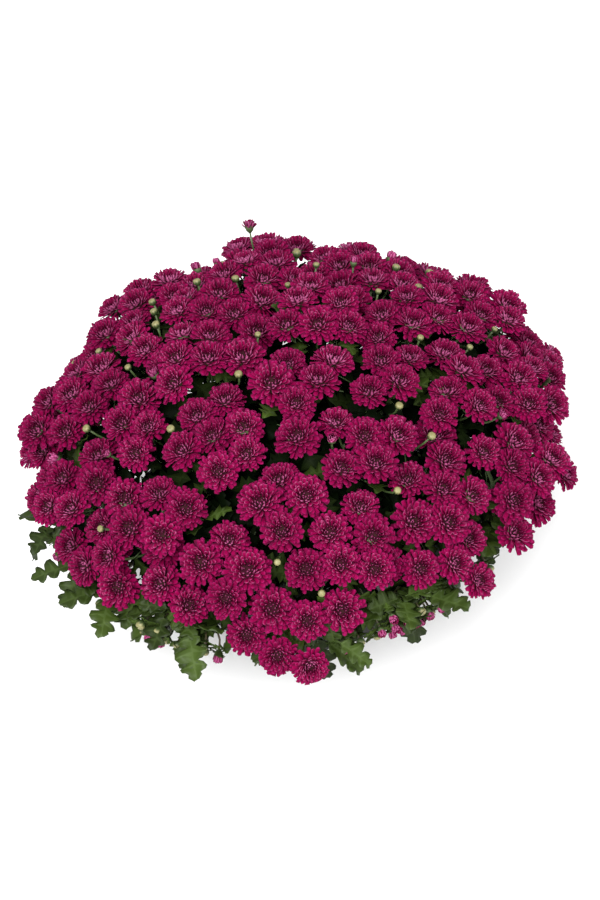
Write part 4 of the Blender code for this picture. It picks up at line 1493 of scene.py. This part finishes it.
@dataclass(frozen=True)
class Finish:
    """What every finish has. Each kind adds its colours.

    Grain is the coarse scale, the fine scale and the fine share of the bump. Patches are the
    scale, the sharpness and the least and greatest value of a roughness that varies.
    """

    name: str
    roughness: float = 0.6
    shine: float = 0.5
    bump: float = 0.3
    bump_depth: float = 0.0004
    grain: Numbers = ()
    patches: Numbers = ()

    def build(self) -> Material:
        """Makes the material."""
        made = bpy.data.materials.new(self.name)
        made.use_nodes = True
        shader = made.node_tree.nodes["Principled BSDF"]
        graph = Graph(made.node_tree)
        inputs = {"Roughness": self.roughness, "Specular IOR Level": self.shine}
        place = graph.add("ShaderNodeTexCoord").outputs["Object"]
        inputs |= self.surface(graph, place)
        if self.grain:
            inputs["Normal"] = self.bumped(graph, graph.grain(place, *self.grain))
        if self.patches:
            scale, sharp, *levels = self.patches
            inputs["Roughness"] = graph.mottled(place, scale, sharp, *((v, v, v) for v in levels))
        for name, value in inputs.items():
            graph.put(shader.inputs[name], value)
        return made

    def surface(self, graph: Graph, place: Socket) -> dict[str, Value]:
        """Further inputs of the shader. Args: graph: the nodes. place: object coordinates."""
        raise NotImplementedError

    def bumped(self, graph: Graph, height: Socket) -> Socket:
        """Surface direction with the bump of a height."""
        inputs = {"Strength": self.bump, "Distance": self.bump_depth, "Height": height}
        return graph.add("ShaderNodeBump", inputs).outputs[0]


@dataclass(frozen=True)
class PetalFinish(Finish):
    """Velvety magenta petal, darker at the root where the throat colour is painted shade, darker
    at the heart, with a paler back and a paler rim that is partly a painted highlight.
    """

    # The throat colour is painted shade at the root of each petal.
    throat_shade: Triple = (0.125, 0.0006, 0.022)
    blade: Triple = (0.168, 0.0006, 0.036)
    # The rim colour is a paler edge that is partly a painted highlight.
    rim: Triple = (0.255, 0.012, 0.095)
    heart: Triple = (0.058, 0.0004, 0.013)
    back: Triple = (0.370, 0.095, 0.215)
    sheen: float = 0.03
    sheen_roughness: float = 0.4
    sheen_tint: Triple = (1.0, 0.25, 0.60)

    def surface(self, graph: Graph, place: Socket) -> dict[str, Value]:
        """Colour and ribs of the petal group, and a velvety sheen."""
        values = {"Mark": graph.mark(), "Tone": graph.tone(), "Vector": place}
        values |= {"Throat shade": self.throat_shade, "Blade": self.blade, "Rim and highlight": self.rim}
        values |= {"Heart": self.heart, "Back": self.back}
        node = graph.add("ShaderNodeGroup", values, node_tree=petal_group())
        return {
            "Base Color": node.outputs["Color"],
            "Sheen Weight": self.sheen,
            "Sheen Roughness": self.sheen_roughness,
            "Sheen Tint": self.sheen_tint,
            "Normal": self.bumped(graph, node.outputs["Height"]),
        }


@dataclass(frozen=True)
class LeafFinish(Finish):
    """Green leaf, darkened deep in the bush by painted shade, with paler veins and a paler underside."""

    # The dark green is the painted shade of leaves deep in the bush, and also darkens leaf edges.
    dark: Triple = (0.0018, 0.0038, 0.0010)
    light: Triple = (0.031, 0.052, 0.0075)
    vein: Triple = (0.062, 0.094, 0.026)
    under: Triple = (0.037, 0.055, 0.021)
    grain: Numbers = (260.0, 900.0, 0.5)
    patches: Numbers = (160.0, 2.0, 0.42, 0.62)

    def surface(self, graph: Graph, place: Socket) -> dict[str, Value]:
        """Green that darkens with the tone as painted shade, then darker edges, veins and underside."""
        _, side, vein = graph.parts(graph.mark())
        tone = graph.tone()
        # Painted shade: a low tone turns the green towards the dark green.
        base = graph.mix(tone, self.dark, self.light)
        young = graph.mix(tone, self.dark, brighter(self.light, 1.45))
        colour = graph.mottled(place, 55.0, 2.2, base, young)
        edge = graph.step(graph.math("ABSOLUTE", side), 0.0, 1.0, 0.0, 0.25)
        colour = graph.mix(edge, colour, self.dark)
        ridge = graph.times(graph.step(vein, 0.72, 1.0), graph.step(vein, 1.2, 1.9, 1.0, 0.0))
        # The paler veins and underside fade with the same painted shade.
        ridge = graph.times(ridge, tone)
        colour = graph.mix(graph.times(ridge, 0.60), colour, self.vein)
        below = graph.times(graph.step(vein, 1.5, 2.0), tone)
        return {"Base Color": graph.mix(graph.times(below, 0.9), colour, self.under)}


@dataclass(frozen=True)
class StemFinish(Finish):
    """Green stem, browner and woodier towards the soil, with fine streaks."""

    green: Triple = (0.040, 0.066, 0.018)
    brown: Triple = (0.055, 0.035, 0.018)
    woody: Span = (0.155, 0.215)
    grain: Numbers = (500.0, 1600.0, 0.6)

    def surface(self, graph: Graph, place: Socket) -> dict[str, Value]:
        """Brown that turns to mottled green with the height."""
        green = graph.mottled(place, 120.0, 2.4, self.green, brighter(self.green, 1.5))
        turn = graph.step(graph.parts(place)[2], *self.woody)
        return {"Base Color": graph.mix(turn, self.brown, green)}


@dataclass(frozen=True)
class BudFinish(Finish):
    """Bud or calyx whose colour goes from its green foot to its top."""

    foot: Triple = (0.034, 0.060, 0.014)
    top: Triple = (0.225, 0.205, 0.080)
    dim: Triple = (0.02, 0.03, 0.01)
    turn: Span = (0.48, 0.95)
    scales: float = 50.26
    scale_height: float = 0.09
    grain: Numbers = (700.0, 1900.0, 0.5)

    def surface(self, graph: Graph, place: Socket) -> dict[str, Value]:
        """Colour that turns at a level that goes up and down round the bud, like its scales."""
        up, around, _ = graph.parts(graph.mark())
        scale = graph.math("SINE", graph.times(around, self.scales))
        level = graph.plus(up, graph.times(scale, self.scale_height))
        colour = graph.mix(graph.step(level, *self.turn), self.foot, self.top)
        dim = graph.mix(0.45, colour, self.dim)
        return {"Base Color": graph.mottled(place, 420.0, 2.6, dim, colour)}


@dataclass(frozen=True)
class PotFinish(Finish):
    """Matt black moulded plastic, faintly grained, with dust near its foot and at its rim."""

    black: Triple = (0.0040, 0.0040, 0.0045)
    dust: Triple = (0.024, 0.021, 0.018)
    foot_dust: Numbers = (0.0, 0.035, 0.55, 0.0)
    rim_dust: Numbers = (0.155, 0.172, 0.0, 0.30)
    grain: Numbers = (420.0, 1800.0, 0.7)
    patches: Numbers = (90.0, 2.0, 0.40, 0.58)

    def surface(self, graph: Graph, place: Socket) -> dict[str, Value]:
        """Worn black with dust at two heights."""
        height = graph.parts(place)[2]
        worn = graph.mottled(place, 30.0, 3.0, self.black, brighter(self.black, 1.9))
        dusty = graph.plus(graph.step(height, *self.foot_dust), graph.step(height, *self.rim_dust))
        dusty = graph.times(dusty, graph.noise(place, 70.0, 5.0))
        return {"Base Color": graph.mix(dusty, worn, self.dust)}


@dataclass(frozen=True)
class SoilFinish(Finish):
    """Dark crumbly potting soil with lighter flecks of bark."""

    dark: Triple = (0.012, 0.008, 0.005)
    brown: Triple = (0.045, 0.028, 0.018)
    fleck: Triple = (0.150, 0.105, 0.065)
    fleck_step: Numbers = (0.66, 0.72, 0.0, 0.7)
    grain: Numbers = (180.0, 800.0, 0.6)

    def surface(self, graph: Graph, place: Socket) -> dict[str, Value]:
        """Mottled brown with flecks."""
        colour = graph.mottled(place, 130.0, 3.0, self.dark, self.brown)
        flecks = graph.step(graph.noise(place, 520.0, 2.0), *self.fleck_step)
        return {"Base Color": graph.mix(flecks, colour, self.fleck)}


@dataclass(frozen=True)
class FloorFinish(Finish):
    """Plain pale floor with hardly any variation."""

    pale: Triple = (0.90, 0.90, 0.90)

    def surface(self, graph: Graph, place: Socket) -> dict[str, Value]:
        """Pale grey, faintly mottled."""
        return {"Base Color": graph.mottled(place, 1.5, 1.0, brighter(self.pale, 0.985), self.pale)}


class Kind(Enum):
    """What grows in a gap between blooms."""

    TIGHT = "tight bud"
    OPENING = "opening bud"
    HALF_OPEN = "half open flower"


@dataclass
class Blooms:
    """The double blooms, one piece for each spray. Each nods a little, and leans to the light."""

    bush: Bush
    plan: BushPlan
    proud: float = 1.02
    lean: float = 0.40
    light: Triple = (0.0, -0.73, 0.68)
    shaded: Span = (-0.15, 0.25)
    nod: float = 0.14
    sizes: Span = (0.88, 1.03)
    sink: Span = (-0.004, 0.002)
    low_sizes: Outline = ((0.14, 0.24), (0.92, 1.0))
    core: Outline = (
        (0.0, -0.42), (0.14, -0.37), (0.34, -0.17), (0.52, 0.00), (0.42, 0.13), (0.22, 0.20),
        (0.0, 0.22),
    )
    core_sides: int = 8

    def leant(self, normals: Array) -> Array:
        """Directions turned towards the light, except for blooms that face away from it."""
        facing = normals @ np.array(self.light)
        share = np.interp(facing, self.shaded, (0.0, 1.0))[:, None]
        return normals + self.lean * share * np.array(self.light)

    def build(self, petal: Material, heart: Material) -> None:
        """Makes every spray. Args: petal: finish of the petals. heart: finish of the core."""
        rng = np.random.RandomState(SEED + 10)
        for spray in range(self.plan.sprays):
            own = self.bush.spray == spray
            centres, normals = self.bush.blooms[own], self.bush.normals[own]
            normals = unit(self.leant(normals) + rng.normal(0, self.nod, normals.shape))
            radii = self.proud * self.bush.radii[own] * rng.uniform(*self.sizes, own.sum())
            radii = radii * np.interp(centres[:, 2], *self.low_sizes)
            centres = centres + rng.uniform(*self.sink, (len(radii), 1)) * self.bush.normals[own]
            places = centres, normals, radii
            petals = petal_shell(FULL_BLOOM, places, rng)
            core = turned(places, self.core, self.core_sides, np.zeros(len(radii)), 1)
            number = f"{spray + 1:02d}"
            shells, finishes = [petals, core], [petal, heart]
            build_piece(f"bloom_spray_{number}", shells, finishes, f"blooms_{number}")


class Coat(IntEnum):
    """Number of each finish of a leafy shoot."""

    STEM = 0
    LEAF = 1
    TIGHT_BUD = 2
    CALYX = 3
    SHADED_LEAF = 4


@dataclass
class Shoots:
    """The leafy stems with their branches, the stalks of all blooms, leaves and buds."""

    growth: Growth
    leaves: list[LeafSpot]
    buds: list[tuple[Kind, BudSpot]]
    main_radii: Numbers = (0.0034, 0.0034, 0.0030, 0.0024, 0.0021, 0.0020, 0.0014)
    main_points: int = 22
    main_sides: int = 9
    branch_radii: Numbers = (0.0025, 0.0024, 0.0022, 0.0015)
    branch_points: int = 13
    branch_sides: int = 7
    stalk_radius: float = 0.00115
    stalk_points: int = 7
    stalk_sides: int = 5
    stalk_spacing: float = 0.004
    stalk_ranks: int = 4
    stalk_sink: float = 0.46
    stalk_turn: float = 0.45
    leaf_stalk_radius: float = 0.0007
    bud_stalk_radius: float = 0.0010
    bud_stalk_points: int = 6
    bud_stalk_sink: float = 0.6
    bud_stalk_turn: float = 0.4
    calyx: Outline = (
        (0.0, -0.52), (0.10, -0.50), (0.24, -0.42), (0.38, -0.26), (0.46, -0.08), (0.40, -0.06),
        (0.0, -0.10),
    )
    bud: Outline = (
        (0.0, -1.00), (0.42, -0.94), (0.86, -0.52), (1.0, 0.05), (0.86, 0.52), (0.46, 0.74),
        (0.0, 0.66),
    )
    cup: Outline = (
        (0.0, -0.70), (0.16, -0.66), (0.40, -0.42), (0.52, -0.10), (0.54, 0.20), (0.46, 0.22),
        (0.0, 0.0),
    )
    calyx_sides: int = 9
    bud_sides: int = 16
    bud_rib: float = 0.05
    cup_rib: float = 0.10
    # Depths of the painted shade on leaves: full tone above the lit depth, darkest at the dark depth.
    lit_depth: float = 0.003
    dark_depth: float = 0.021
    least_tone: float = 0.30
    open_depth: float = 0.018
    open_heights: Span = (0.140, 0.260)
    fine_depth: float = 0.003
    fine_length: float = 0.022

    def stalk_paths(self, shoot: int) -> Array:
        """Curved stalks from each spray's hub to its blooms, as (stalk, point, 3).

        A stalk is the curve of second degree from its root on the branch to its calyx that
        arrives along the way its bloom faces.
        """
        growth, bush = self.growth, self.growth.bush
        paths = []
        for spray in np.flatnonzero(bush.shoot == shoot):
            branch = growth.branches[spray]
            back = unit(branch[2] - branch[1])
            for rank, bloom in enumerate(np.flatnonzero(bush.spray == spray)):
                end = bush.blooms[bloom] - self.stalk_sink * bush.radii[bloom] * bush.normals[bloom]
                root = branch[2] - self.stalk_spacing * (rank % self.stalk_ranks) * back
                gap = np.linalg.norm(end - root)
                turn = end - self.stalk_turn * gap * bush.normals[bloom]
                paths.append(bent(root, turn, end, self.stalk_points))
        return np.array(paths)

    def stem_shells(self, shoot: int, rng: Rng) -> list[Shell]:
        """Main stem, branches and stalks of a shoot as tubes."""
        growth = self.growth
        own = np.flatnonzero(growth.bush.shoot == shoot)
        path = np.vstack([growth.stems[shoot], growth.branches[own[0]][1:]])
        stems = [(path, self.main_radii, self.main_points, self.main_sides)]
        for spray in own[1:]:
            stems.append((growth.branches[spray], self.branch_radii, self.branch_points, self.branch_sides))
        shells = []
        for path, radii, points, sides in stems:
            last = len(radii) - 1
            wide = np.interp(np.linspace(0, last, points), np.arange(last + 1), radii)
            shells.append(tubes(smoothed(path, points)[None], wide, sides, rng.uniform(0, 1, 1), Coat.STEM))
        stalks = self.stalk_paths(shoot)
        tones = rng.uniform(0, 1, len(stalks))
        shells.append(tubes(stalks, self.stalk_radius, self.stalk_sides, tones, Coat.STEM))
        return shells

    def leaf_shells(self, leaves: list[LeafSpot], rng: Rng) -> list[Shell]:
        """Leaves of a shoot, finer ones outside, and the stalks that some stand on.

        A leaf's tone, which darkens it as painted shade, falls from one at the dome to nothing at
        the dark depth below it. Low down, where the blooms are sparser, that depth counts from
        further in.
        """
        depth = self.growth.depths(leaves)
        height = np.array([leaf.base[2] for leaf in leaves])
        low = np.clip((self.open_heights[1] - height) / np.ptp(self.open_heights), 0, 1)
        # Painted shade: the deeper a leaf lies under the dome, the darker its tone.
        lit = depth - self.open_depth * low
        light = np.clip(1 - (lit - self.lit_depth) / (self.dark_depth - self.lit_depth), 0, 1)
        tones = light * rng.uniform(self.least_tone, 1.0, len(leaves))
        long = np.array([leaf.length for leaf in leaves])
        outer = (lit < self.fine_depth) & (long > self.fine_length)
        shells = []
        for form, coat, chosen in ((FINE_LEAF, Coat.LEAF, outer), (PLAIN_LEAF, Coat.SHADED_LEAF, ~outer)):
            picked = [leaves[i] for i in np.flatnonzero(chosen)]
            if picked:
                shells.append(leaf_shell(picked, tones[chosen], coat, form))
        stalks = np.array([(leaf.root, leaf.base) for leaf in leaves if leaf.root is not None])
        if len(stalks):
            tones = rng.uniform(0, 1, len(stalks))
            shells.append(tubes(stalks, self.leaf_stalk_radius, 3, tones, Coat.STEM))
        return shells

    def bud_shells(self, shoot: int, rng: Rng) -> list[Shell]:
        """Stalks, calyxes and tight buds of a shoot."""
        mine = [(kind, spot) for kind, spot in self.buds if spot.shoot == shoot]
        if not mine:
            return []
        paths = []
        for _, spot in mine:
            foot = spot.centre - self.bud_stalk_sink * spot.width * spot.normal
            turn = foot - self.bud_stalk_turn * np.linalg.norm(foot - spot.root) * spot.normal
            paths.append(bent(spot.root, turn, foot, self.bud_stalk_points))
        tones = rng.uniform(0, 1, len(mine))
        shells = [tubes(np.array(paths), self.bud_stalk_radius, self.stalk_sides, tones, Coat.STEM)]
        for tight, profile, coat, rib in (
            (True, self.bud, Coat.TIGHT_BUD, self.bud_rib),
            (False, self.cup, Coat.CALYX, self.cup_rib),
        ):
            spots = [spot for kind, spot in mine if (kind is Kind.TIGHT) == tight]
            if spots:
                tones = rng.uniform(0, 1, len(spots))
                shells.append(turned(placed(spots), profile, self.bud_sides, tones, coat, rib))
        return shells

    def build(self, finishes: list[Material]) -> None:
        """Makes every shoot. Args: finishes: one for each coat, in order."""
        rng = np.random.RandomState(SEED + 20)
        bush = self.growth.bush
        for shoot in range(self.growth.plan.shoots):
            shells = self.stem_shells(shoot, rng)
            own = np.isin(bush.spray, np.flatnonzero(bush.shoot == shoot))
            tones = rng.uniform(0, 1, own.sum())
            places = bush.blooms[own], bush.normals[own], bush.radii[own]
            shells.append(turned(places, self.calyx, self.calyx_sides, tones, Coat.CALYX))
            shells += self.leaf_shells([leaf for leaf in self.leaves if leaf.shoot == shoot], rng)
            shells += self.bud_shells(shoot, rng)
            number = f"{shoot + 1:02d}"
            build_piece(f"leafy_shoot_{number}", shells, finishes, f"leafy_stem_{number}")

    def build_flowers(self, petal: Material) -> None:
        """Makes the petals of opening buds and half open flowers. Args: petal: their finish."""
        rng = np.random.RandomState(SEED + 30)
        shells = []
        for kind, layers in ((Kind.OPENING, OPENING_BUD), (Kind.HALF_OPEN, HALF_OPEN)):
            spots = [spot for found, spot in self.buds if found is kind]
            if spots:
                shells.append(petal_shell(layers, placed(spots), rng))
        build_piece("young_flowers", shells, [petal])


def upright(profile: Outline, sides: int) -> Shell:
    """One shape turned round the middle of the pot."""
    return turned((np.zeros((1, 3)), UP[None], np.ones(1)), profile, sides, np.zeros(1))


def moved(outline: Outline, reach: float, height: float) -> list[Span]:
    """Points of an outline, moved out and up."""
    return [(reach + x, height + z) for x, z in outline]


@dataclass
class Pot:
    """Tapered nursery pot with a rolled rim band and a recessed foot.

    The outlines of its foot, its band and its lip are measured from the base radius, the lower
    edge of the band, the outer edge of the rim and the inner edge of the rim.
    """

    height: float = 0.170
    base_radius: float = 0.116
    rim_radius: float = 0.140
    wall: float = 0.0035
    floor: float = 0.005
    band: float = 0.020
    step: float = 0.003
    sides: int = 96
    recess: float = 0.0012
    foot: Outline = ((-0.012, 0.0012), (-0.010, 0.0), (-0.003, 0.0), (-0.0008, 0.0009), (0.0, 0.003))
    rings: Numbers = (0.020, 0.022, 0.060, 0.100, 0.130, 0.149)
    band_edge: Outline = ((-0.0012, 0.0003), (-0.0002, 0.0016), (0.0, 0.004))
    outer_lip: Outline = ((0.0, -0.0035), (-0.0006, -0.0009), (-0.002, 0.0))
    inner_lip: Outline = ((0.0008, 0.0), (0.0, -0.0009))

    def wall_radius(self, height: float) -> float:
        """Outer radius of the wall below the rim band."""
        return self.base_radius + height / self.height * (self.rim_radius - self.step - self.base_radius)

    def profile(self) -> Outline:
        """Outline of the wall from the middle of the base, up outside and down inside."""
        outline = [(0.0, self.recess), *moved(self.foot, self.base_radius, 0.0)]
        outline += [(self.wall_radius(height), height) for height in self.rings]
        outline += moved(self.band_edge, self.rim_radius, self.height - self.band)
        outline += moved(self.outer_lip, self.rim_radius, self.height)
        outline += moved(self.inner_lip, self.wall_radius(self.height) - self.wall, self.height)
        return (*outline, (self.wall_radius(self.floor) - self.wall, self.floor), (0.0, self.floor))

    def build(self, finish: Material) -> None:
        """Makes the pot. Args: finish: black plastic."""
        build_piece("nursery_pot", [upright(self.profile(), self.sides)], [finish], "pot")


@dataclass
class Soil:
    """Lumpy soil that fills the pot to below its rim, with loose crumbs on top."""

    pot: Pot
    level: float = 0.152
    gap: float = 0.0003
    fall: float = 0.004
    flat_radius: float = 0.100
    sides: int = 96
    rings: int = 26
    inner_ring: float = 0.003
    waves: int = 14
    pitches: Span = (90, 620)
    lumpy_radius: float = 0.126
    lumpy_depth: float = 0.003
    lump_height: float = 0.0042
    lump_sink: float = 0.001
    crumbs: int = 160
    crumb_reach: float = 0.118
    crumb_sizes: Span = (0.0012, 0.0036)
    crumb: Outline = ((0, -0.8), (0.7, -0.5), (0.95, 0.15), (0.5, 0.7), (0, 0.8))
    crumb_sides: int = 5

    def profile(self) -> Outline:
        """Outline from the middle of the bottom, up the wall and in over the top."""
        low = self.pot.floor + self.gap
        room = self.pot.wall + 2 * self.gap
        reach = self.pot.wall_radius(self.level) - room
        edge = self.level - self.fall
        foot = (0.0, low), (self.pot.wall_radius(low) - room, low), (reach, edge)
        radii = np.linspace(reach, self.inner_ring, self.rings)[1:]
        tops = np.interp(radii, [0, self.flat_radius, reach], [self.level, self.level, edge])
        return (*foot, *zip(radii, tops), (0.0, self.level))

    def build(self, finish: Material) -> None:
        """Makes the soil. The top is raised and lowered by a sum of sine waves across it."""
        rng = np.random.RandomState(SEED + 40)
        shell = upright(self.profile(), self.sides)
        x, y, z = shell.points.T
        lumps = np.zeros_like(x)
        for _ in range(self.waves):
            way = rng.uniform(0, 2 * math.pi)
            across = rng.uniform(*self.pitches) * (x * math.cos(way) + y * math.sin(way))
            lumps += np.sin(across + rng.uniform(0, 7)) / self.waves
        lumpy = (z > self.level - self.lumpy_depth) & (np.hypot(x, y) < self.lumpy_radius)
        z += np.where(lumpy, self.lump_height * lumps - self.lump_sink, 0)
        shell.points = np.stack([x, y, z], axis=-1)
        reach = self.crumb_reach * np.sqrt(rng.uniform(0, 1, self.crumbs))
        turn = rng.uniform(0, 2 * math.pi, self.crumbs)
        heights = np.full(self.crumbs, self.level)
        spots = np.stack([reach * np.cos(turn), reach * np.sin(turn), heights], axis=-1)
        axes = unit(rng.normal(0, 1, (self.crumbs, 3)))
        sizes = rng.uniform(*self.crumb_sizes, self.crumbs)
        tones = rng.uniform(0, 1, self.crumbs)
        grains = turned((spots, axes, sizes), self.crumb, self.crumb_sides, tones)
        build_piece("potting_soil", [shell, grains], [finish], "soil")


@dataclass(frozen=True)
class Lamp:
    """Soft square light: its name, its place, its side and its power."""

    name: str
    spot: Triple
    size: float
    power: float

    def build(self, target: Vector) -> None:
        """Makes the light. Args: target: where it shines."""
        data = bpy.data.lights.new(self.name, "AREA")
        data.shape = "SQUARE"
        data.size = self.size
        data.energy = self.power
        way = target - Vector(self.spot)
        turned_to = way.to_track_quat("-Z", "Y").to_matrix().to_4x4()
        linked(self.name, data).matrix_world = Matrix.Translation(self.spot) @ turned_to


@dataclass(frozen=True)
class Studio:
    """Pale floor, soft lights, and a camera at the photograph's viewing angle."""

    target: Triple = (0.0, 0.0, 0.165)
    target_pixel: Span = (296.3, 455.9)
    frame_pixels: Span = (600.0, 900.0)
    distance: float = 1.8
    elevation: float = math.radians(43.4)
    roll: float = math.radians(3.4)
    pixels_per_metre: float = 1006.0
    sensor: float = 36.0
    floor_reach: float = 9
    sky: float = 0.60
    lamps: tuple[Lamp, ...] = (
        Lamp("key light", (-0.9, -2.2, 2.7), 2.2, 212),
        Lamp("fill light", (2.4, -1.4, 2.2), 2.6, 84),
        Lamp("back light", (-0.3, 2.4, 2.6), 2.4, 20),
    )

    def camera(self) -> None:
        """Makes the camera, rolled a little and aimed so that the target lands on its pixel."""
        low, high = math.cos(self.elevation), math.sin(self.elevation)
        back, right, up = Vector((0, -low, high)), Vector((1, 0, 0)), Vector((0, high, low))
        turn, tilt = math.cos(self.roll), math.sin(self.roll)
        across = turn * right - tilt * up
        above = tilt * right + turn * up
        wide, tall = self.frame_pixels
        offset = across * (wide / 2 - self.target_pixel[0]) + above * (self.target_pixel[1] - tall / 2)
        middle = Vector(self.target) + offset / self.pixels_per_metre
        data = bpy.data.cameras.new("camera")
        data.sensor_width = self.sensor
        data.lens = self.sensor * self.pixels_per_metre * self.distance / tall
        made = linked("camera", data)
        turned_to = Matrix((across, above, back)).transposed().to_4x4()
        made.matrix_world = Matrix.Translation(middle + self.distance * back) @ turned_to
        bpy.context.scene.camera = made

    def floor(self, finish: Material) -> None:
        """Makes the floor. Args: finish: its finish."""
        mesh = bpy.data.meshes.new("floor")
        r = self.floor_reach
        mesh.from_pydata([(-r, -r, 0), (r, -r, 0), (r, r, 0), (-r, r, 0)], [], [(0, 1, 2, 3)])
        mesh.materials.append(finish)
        linked("floor", mesh)

    def build(self, finish: Material) -> None:
        """Makes the floor, the lights, the sky and the camera. Args: finish: the floor's."""
        self.floor(finish)
        for lamp in self.lamps:
            lamp.build(Vector(self.target))
        world = bpy.data.worlds.new("studio")
        world.use_nodes = True
        background = world.node_tree.nodes["Background"]
        background.inputs["Color"].default_value = (1, 1, 1, 1)
        background.inputs["Strength"].default_value = self.sky
        bpy.context.scene.world = world
        bpy.context.scene.view_settings.view_transform = "Standard"
        self.camera()


@dataclass(frozen=True)
class BudChoice:
    """What grows at a spot, by chance and by the room that its gap has, and how wide it is."""

    wide_gap: float = 0.010
    flower_chance: float = 0.7
    flower_margin: float = 0.003
    widest_flower: float = 0.0145
    opening_chance: float = 0.40
    opening_widths: Span = (0.0058, 0.0090)
    tight_widths: Span = (0.0030, 0.0042)
    low_chances: Triple = (0.66, 0.28, 0.06)
    low_widths: Triple = (0.0042, 0.0066, 0.0120)
    low_spread: Span = (0.9, 1.15)

    def sorted(self, spots: list[BudSpot], bush: Bush, rng: Rng) -> list[tuple[Kind, BudSpot]]:
        """Gives wide gaps a flower and narrow ones a bud.

        Args:
            spots: spots in the gaps between blooms.
            bush: the bush that they grow on.
            rng: source of chance.

        Returns:
            What grows at each spot, with its width.
        """
        found = []
        for spot in spots:
            gaps = np.linalg.norm(bush.blooms - spot.centre, axis=1) - bush.radii
            room = float(gaps.min())
            chance = rng.uniform()
            if room > self.wide_gap and chance < self.flower_chance:
                kind, spot.width = Kind.HALF_OPEN, min(room + self.flower_margin, self.widest_flower)
            elif chance < self.opening_chance:
                kind, spot.width = Kind.OPENING, rng.uniform(*self.opening_widths)
            else:
                kind, spot.width = Kind.TIGHT, rng.uniform(*self.tight_widths)
            found.append((kind, spot))
        return found

    def low(self, spots: list[BudSpot], rng: Rng) -> list[tuple[Kind, BudSpot]]:
        """Gives the spots at the foot of the bush mostly buds. Args: as for the others."""
        found = []
        for number, spot in zip(rng.choice(len(Kind), len(spots), p=self.low_chances), spots):
            spot.width = self.low_widths[number] * rng.uniform(*self.low_spread)
            found.append((tuple(Kind)[number], spot))
        return found


def solid_growth(growth: Growth) -> tuple[list[LeafSpot], list[BudSpot]]:
    """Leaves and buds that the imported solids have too. Args: growth: the bush they grow on."""
    rng = np.random.RandomState(SEED + 1)
    buds = growth.grow_buds(rng, SOLID_BUDS)
    for bud in buds:
        growth.lines.append((bud.shoot, sampled(np.array([bud.root, bud.centre]))))
    leaves = growth.grow_leaves(rng, BRANCH_LEAVES, TWIG_LEAVES)
    log.info("%d leaves and %d buds as in the solids", len(leaves), len(buds))
    return leaves, buds


def all_growth(growth: Growth) -> tuple[list[LeafSpot], list[tuple[Kind, BudSpot]]]:
    """Every leaf and bud, the fine ones too. Args: growth: the bush they grow on."""
    leaves, solid_buds = solid_growth(growth)
    room = Room()
    for points in leaf_samples(leaves):
        room.take(points)
    rng = np.random.RandomState(SEED + 2)
    leaves += growth.skirt_leaves(rng, room)
    log.info("%d leaves with those of the skirt", len(leaves))
    leaves += growth.gap_leaves(rng, room, SHALLOW_LEAF)
    log.info("%d leaves with those behind the gaps", len(leaves))
    leaves += growth.gap_leaves(rng, room, DEEP_LEAF)
    solid = np.array([bud.centre for bud in solid_buds])
    more = growth.grow_buds(rng, UPPER_BUDS)
    more = [bud for bud in more if np.linalg.norm(solid - bud.centre, axis=1).min() > BUD_ROOM]
    choice = BudChoice()
    buds = [(Kind.TIGHT, bud) for bud in solid_buds] + choice.sorted(more, growth.bush, rng)
    buds.append((Kind.HALF_OPEN, growth.lone_flower()))
    low = growth.grow_buds(rng, LOW_BUDS)
    buds += choice.low(low, rng)
    leaves += growth.bract_leaves(rng, low)
    log.info("%d leaves and %d buds in all", len(leaves), len(buds))
    return leaves, buds


def shoot_finishes() -> list[Material]:
    """Finishes of the leafy shoots, in the order of their coats."""
    return [
        StemFinish("green stem", roughness=0.55).build(),
        LeafFinish("green leaf", roughness=0.52, shine=0.16).build(),
        BudFinish("tight bud", roughness=0.5).build(),
        BudFinish("green calyx", top=(0.055, 0.090, 0.025)).build(),
        LeafFinish("shaded leaf", roughness=0.7, shine=0.02).build(),
    ]


def main() -> None:
    """Builds every piece in order and dresses the scene."""
    logging.basicConfig(level=logging.INFO, format="%(message)s")
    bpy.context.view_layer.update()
    plan = BushPlan()
    bush = plan.laid_out()
    log.info("laid out %d blooms in %d sprays on %d shoots", plan.blooms, plan.sprays, plan.shoots)
    growth = Growth(bush, plan)
    leaves, buds = all_growth(growth)

    petal = PetalFinish("velvet petal", roughness=0.75, shine=0.03).build()
    heart_colours = {"foot": (0.02, 0.04, 0.012), "top": (0.035, 0.001, 0.012)}
    heart = BudFinish("flower core", roughness=0.9, shine=0.03, **heart_colours).build()
    Blooms(bush, plan).build(petal, heart)
    shoots = Shoots(growth, leaves, buds)
    shoots.build(shoot_finishes())
    shoots.build_flowers(petal)
    pot = Pot()
    pot.build(PotFinish("black plastic", roughness=0.5, shine=0.26, bump=0.15).build())
    earth = SoilFinish("potting soil", roughness=0.95, shine=0.2, bump=0.7, bump_depth=0.001)
    Soil(pot).build(earth.build())
    Studio().build(FloorFinish("pale floor", roughness=0.9, shine=0.2).build())


if __name__ == "__main__":
    main()
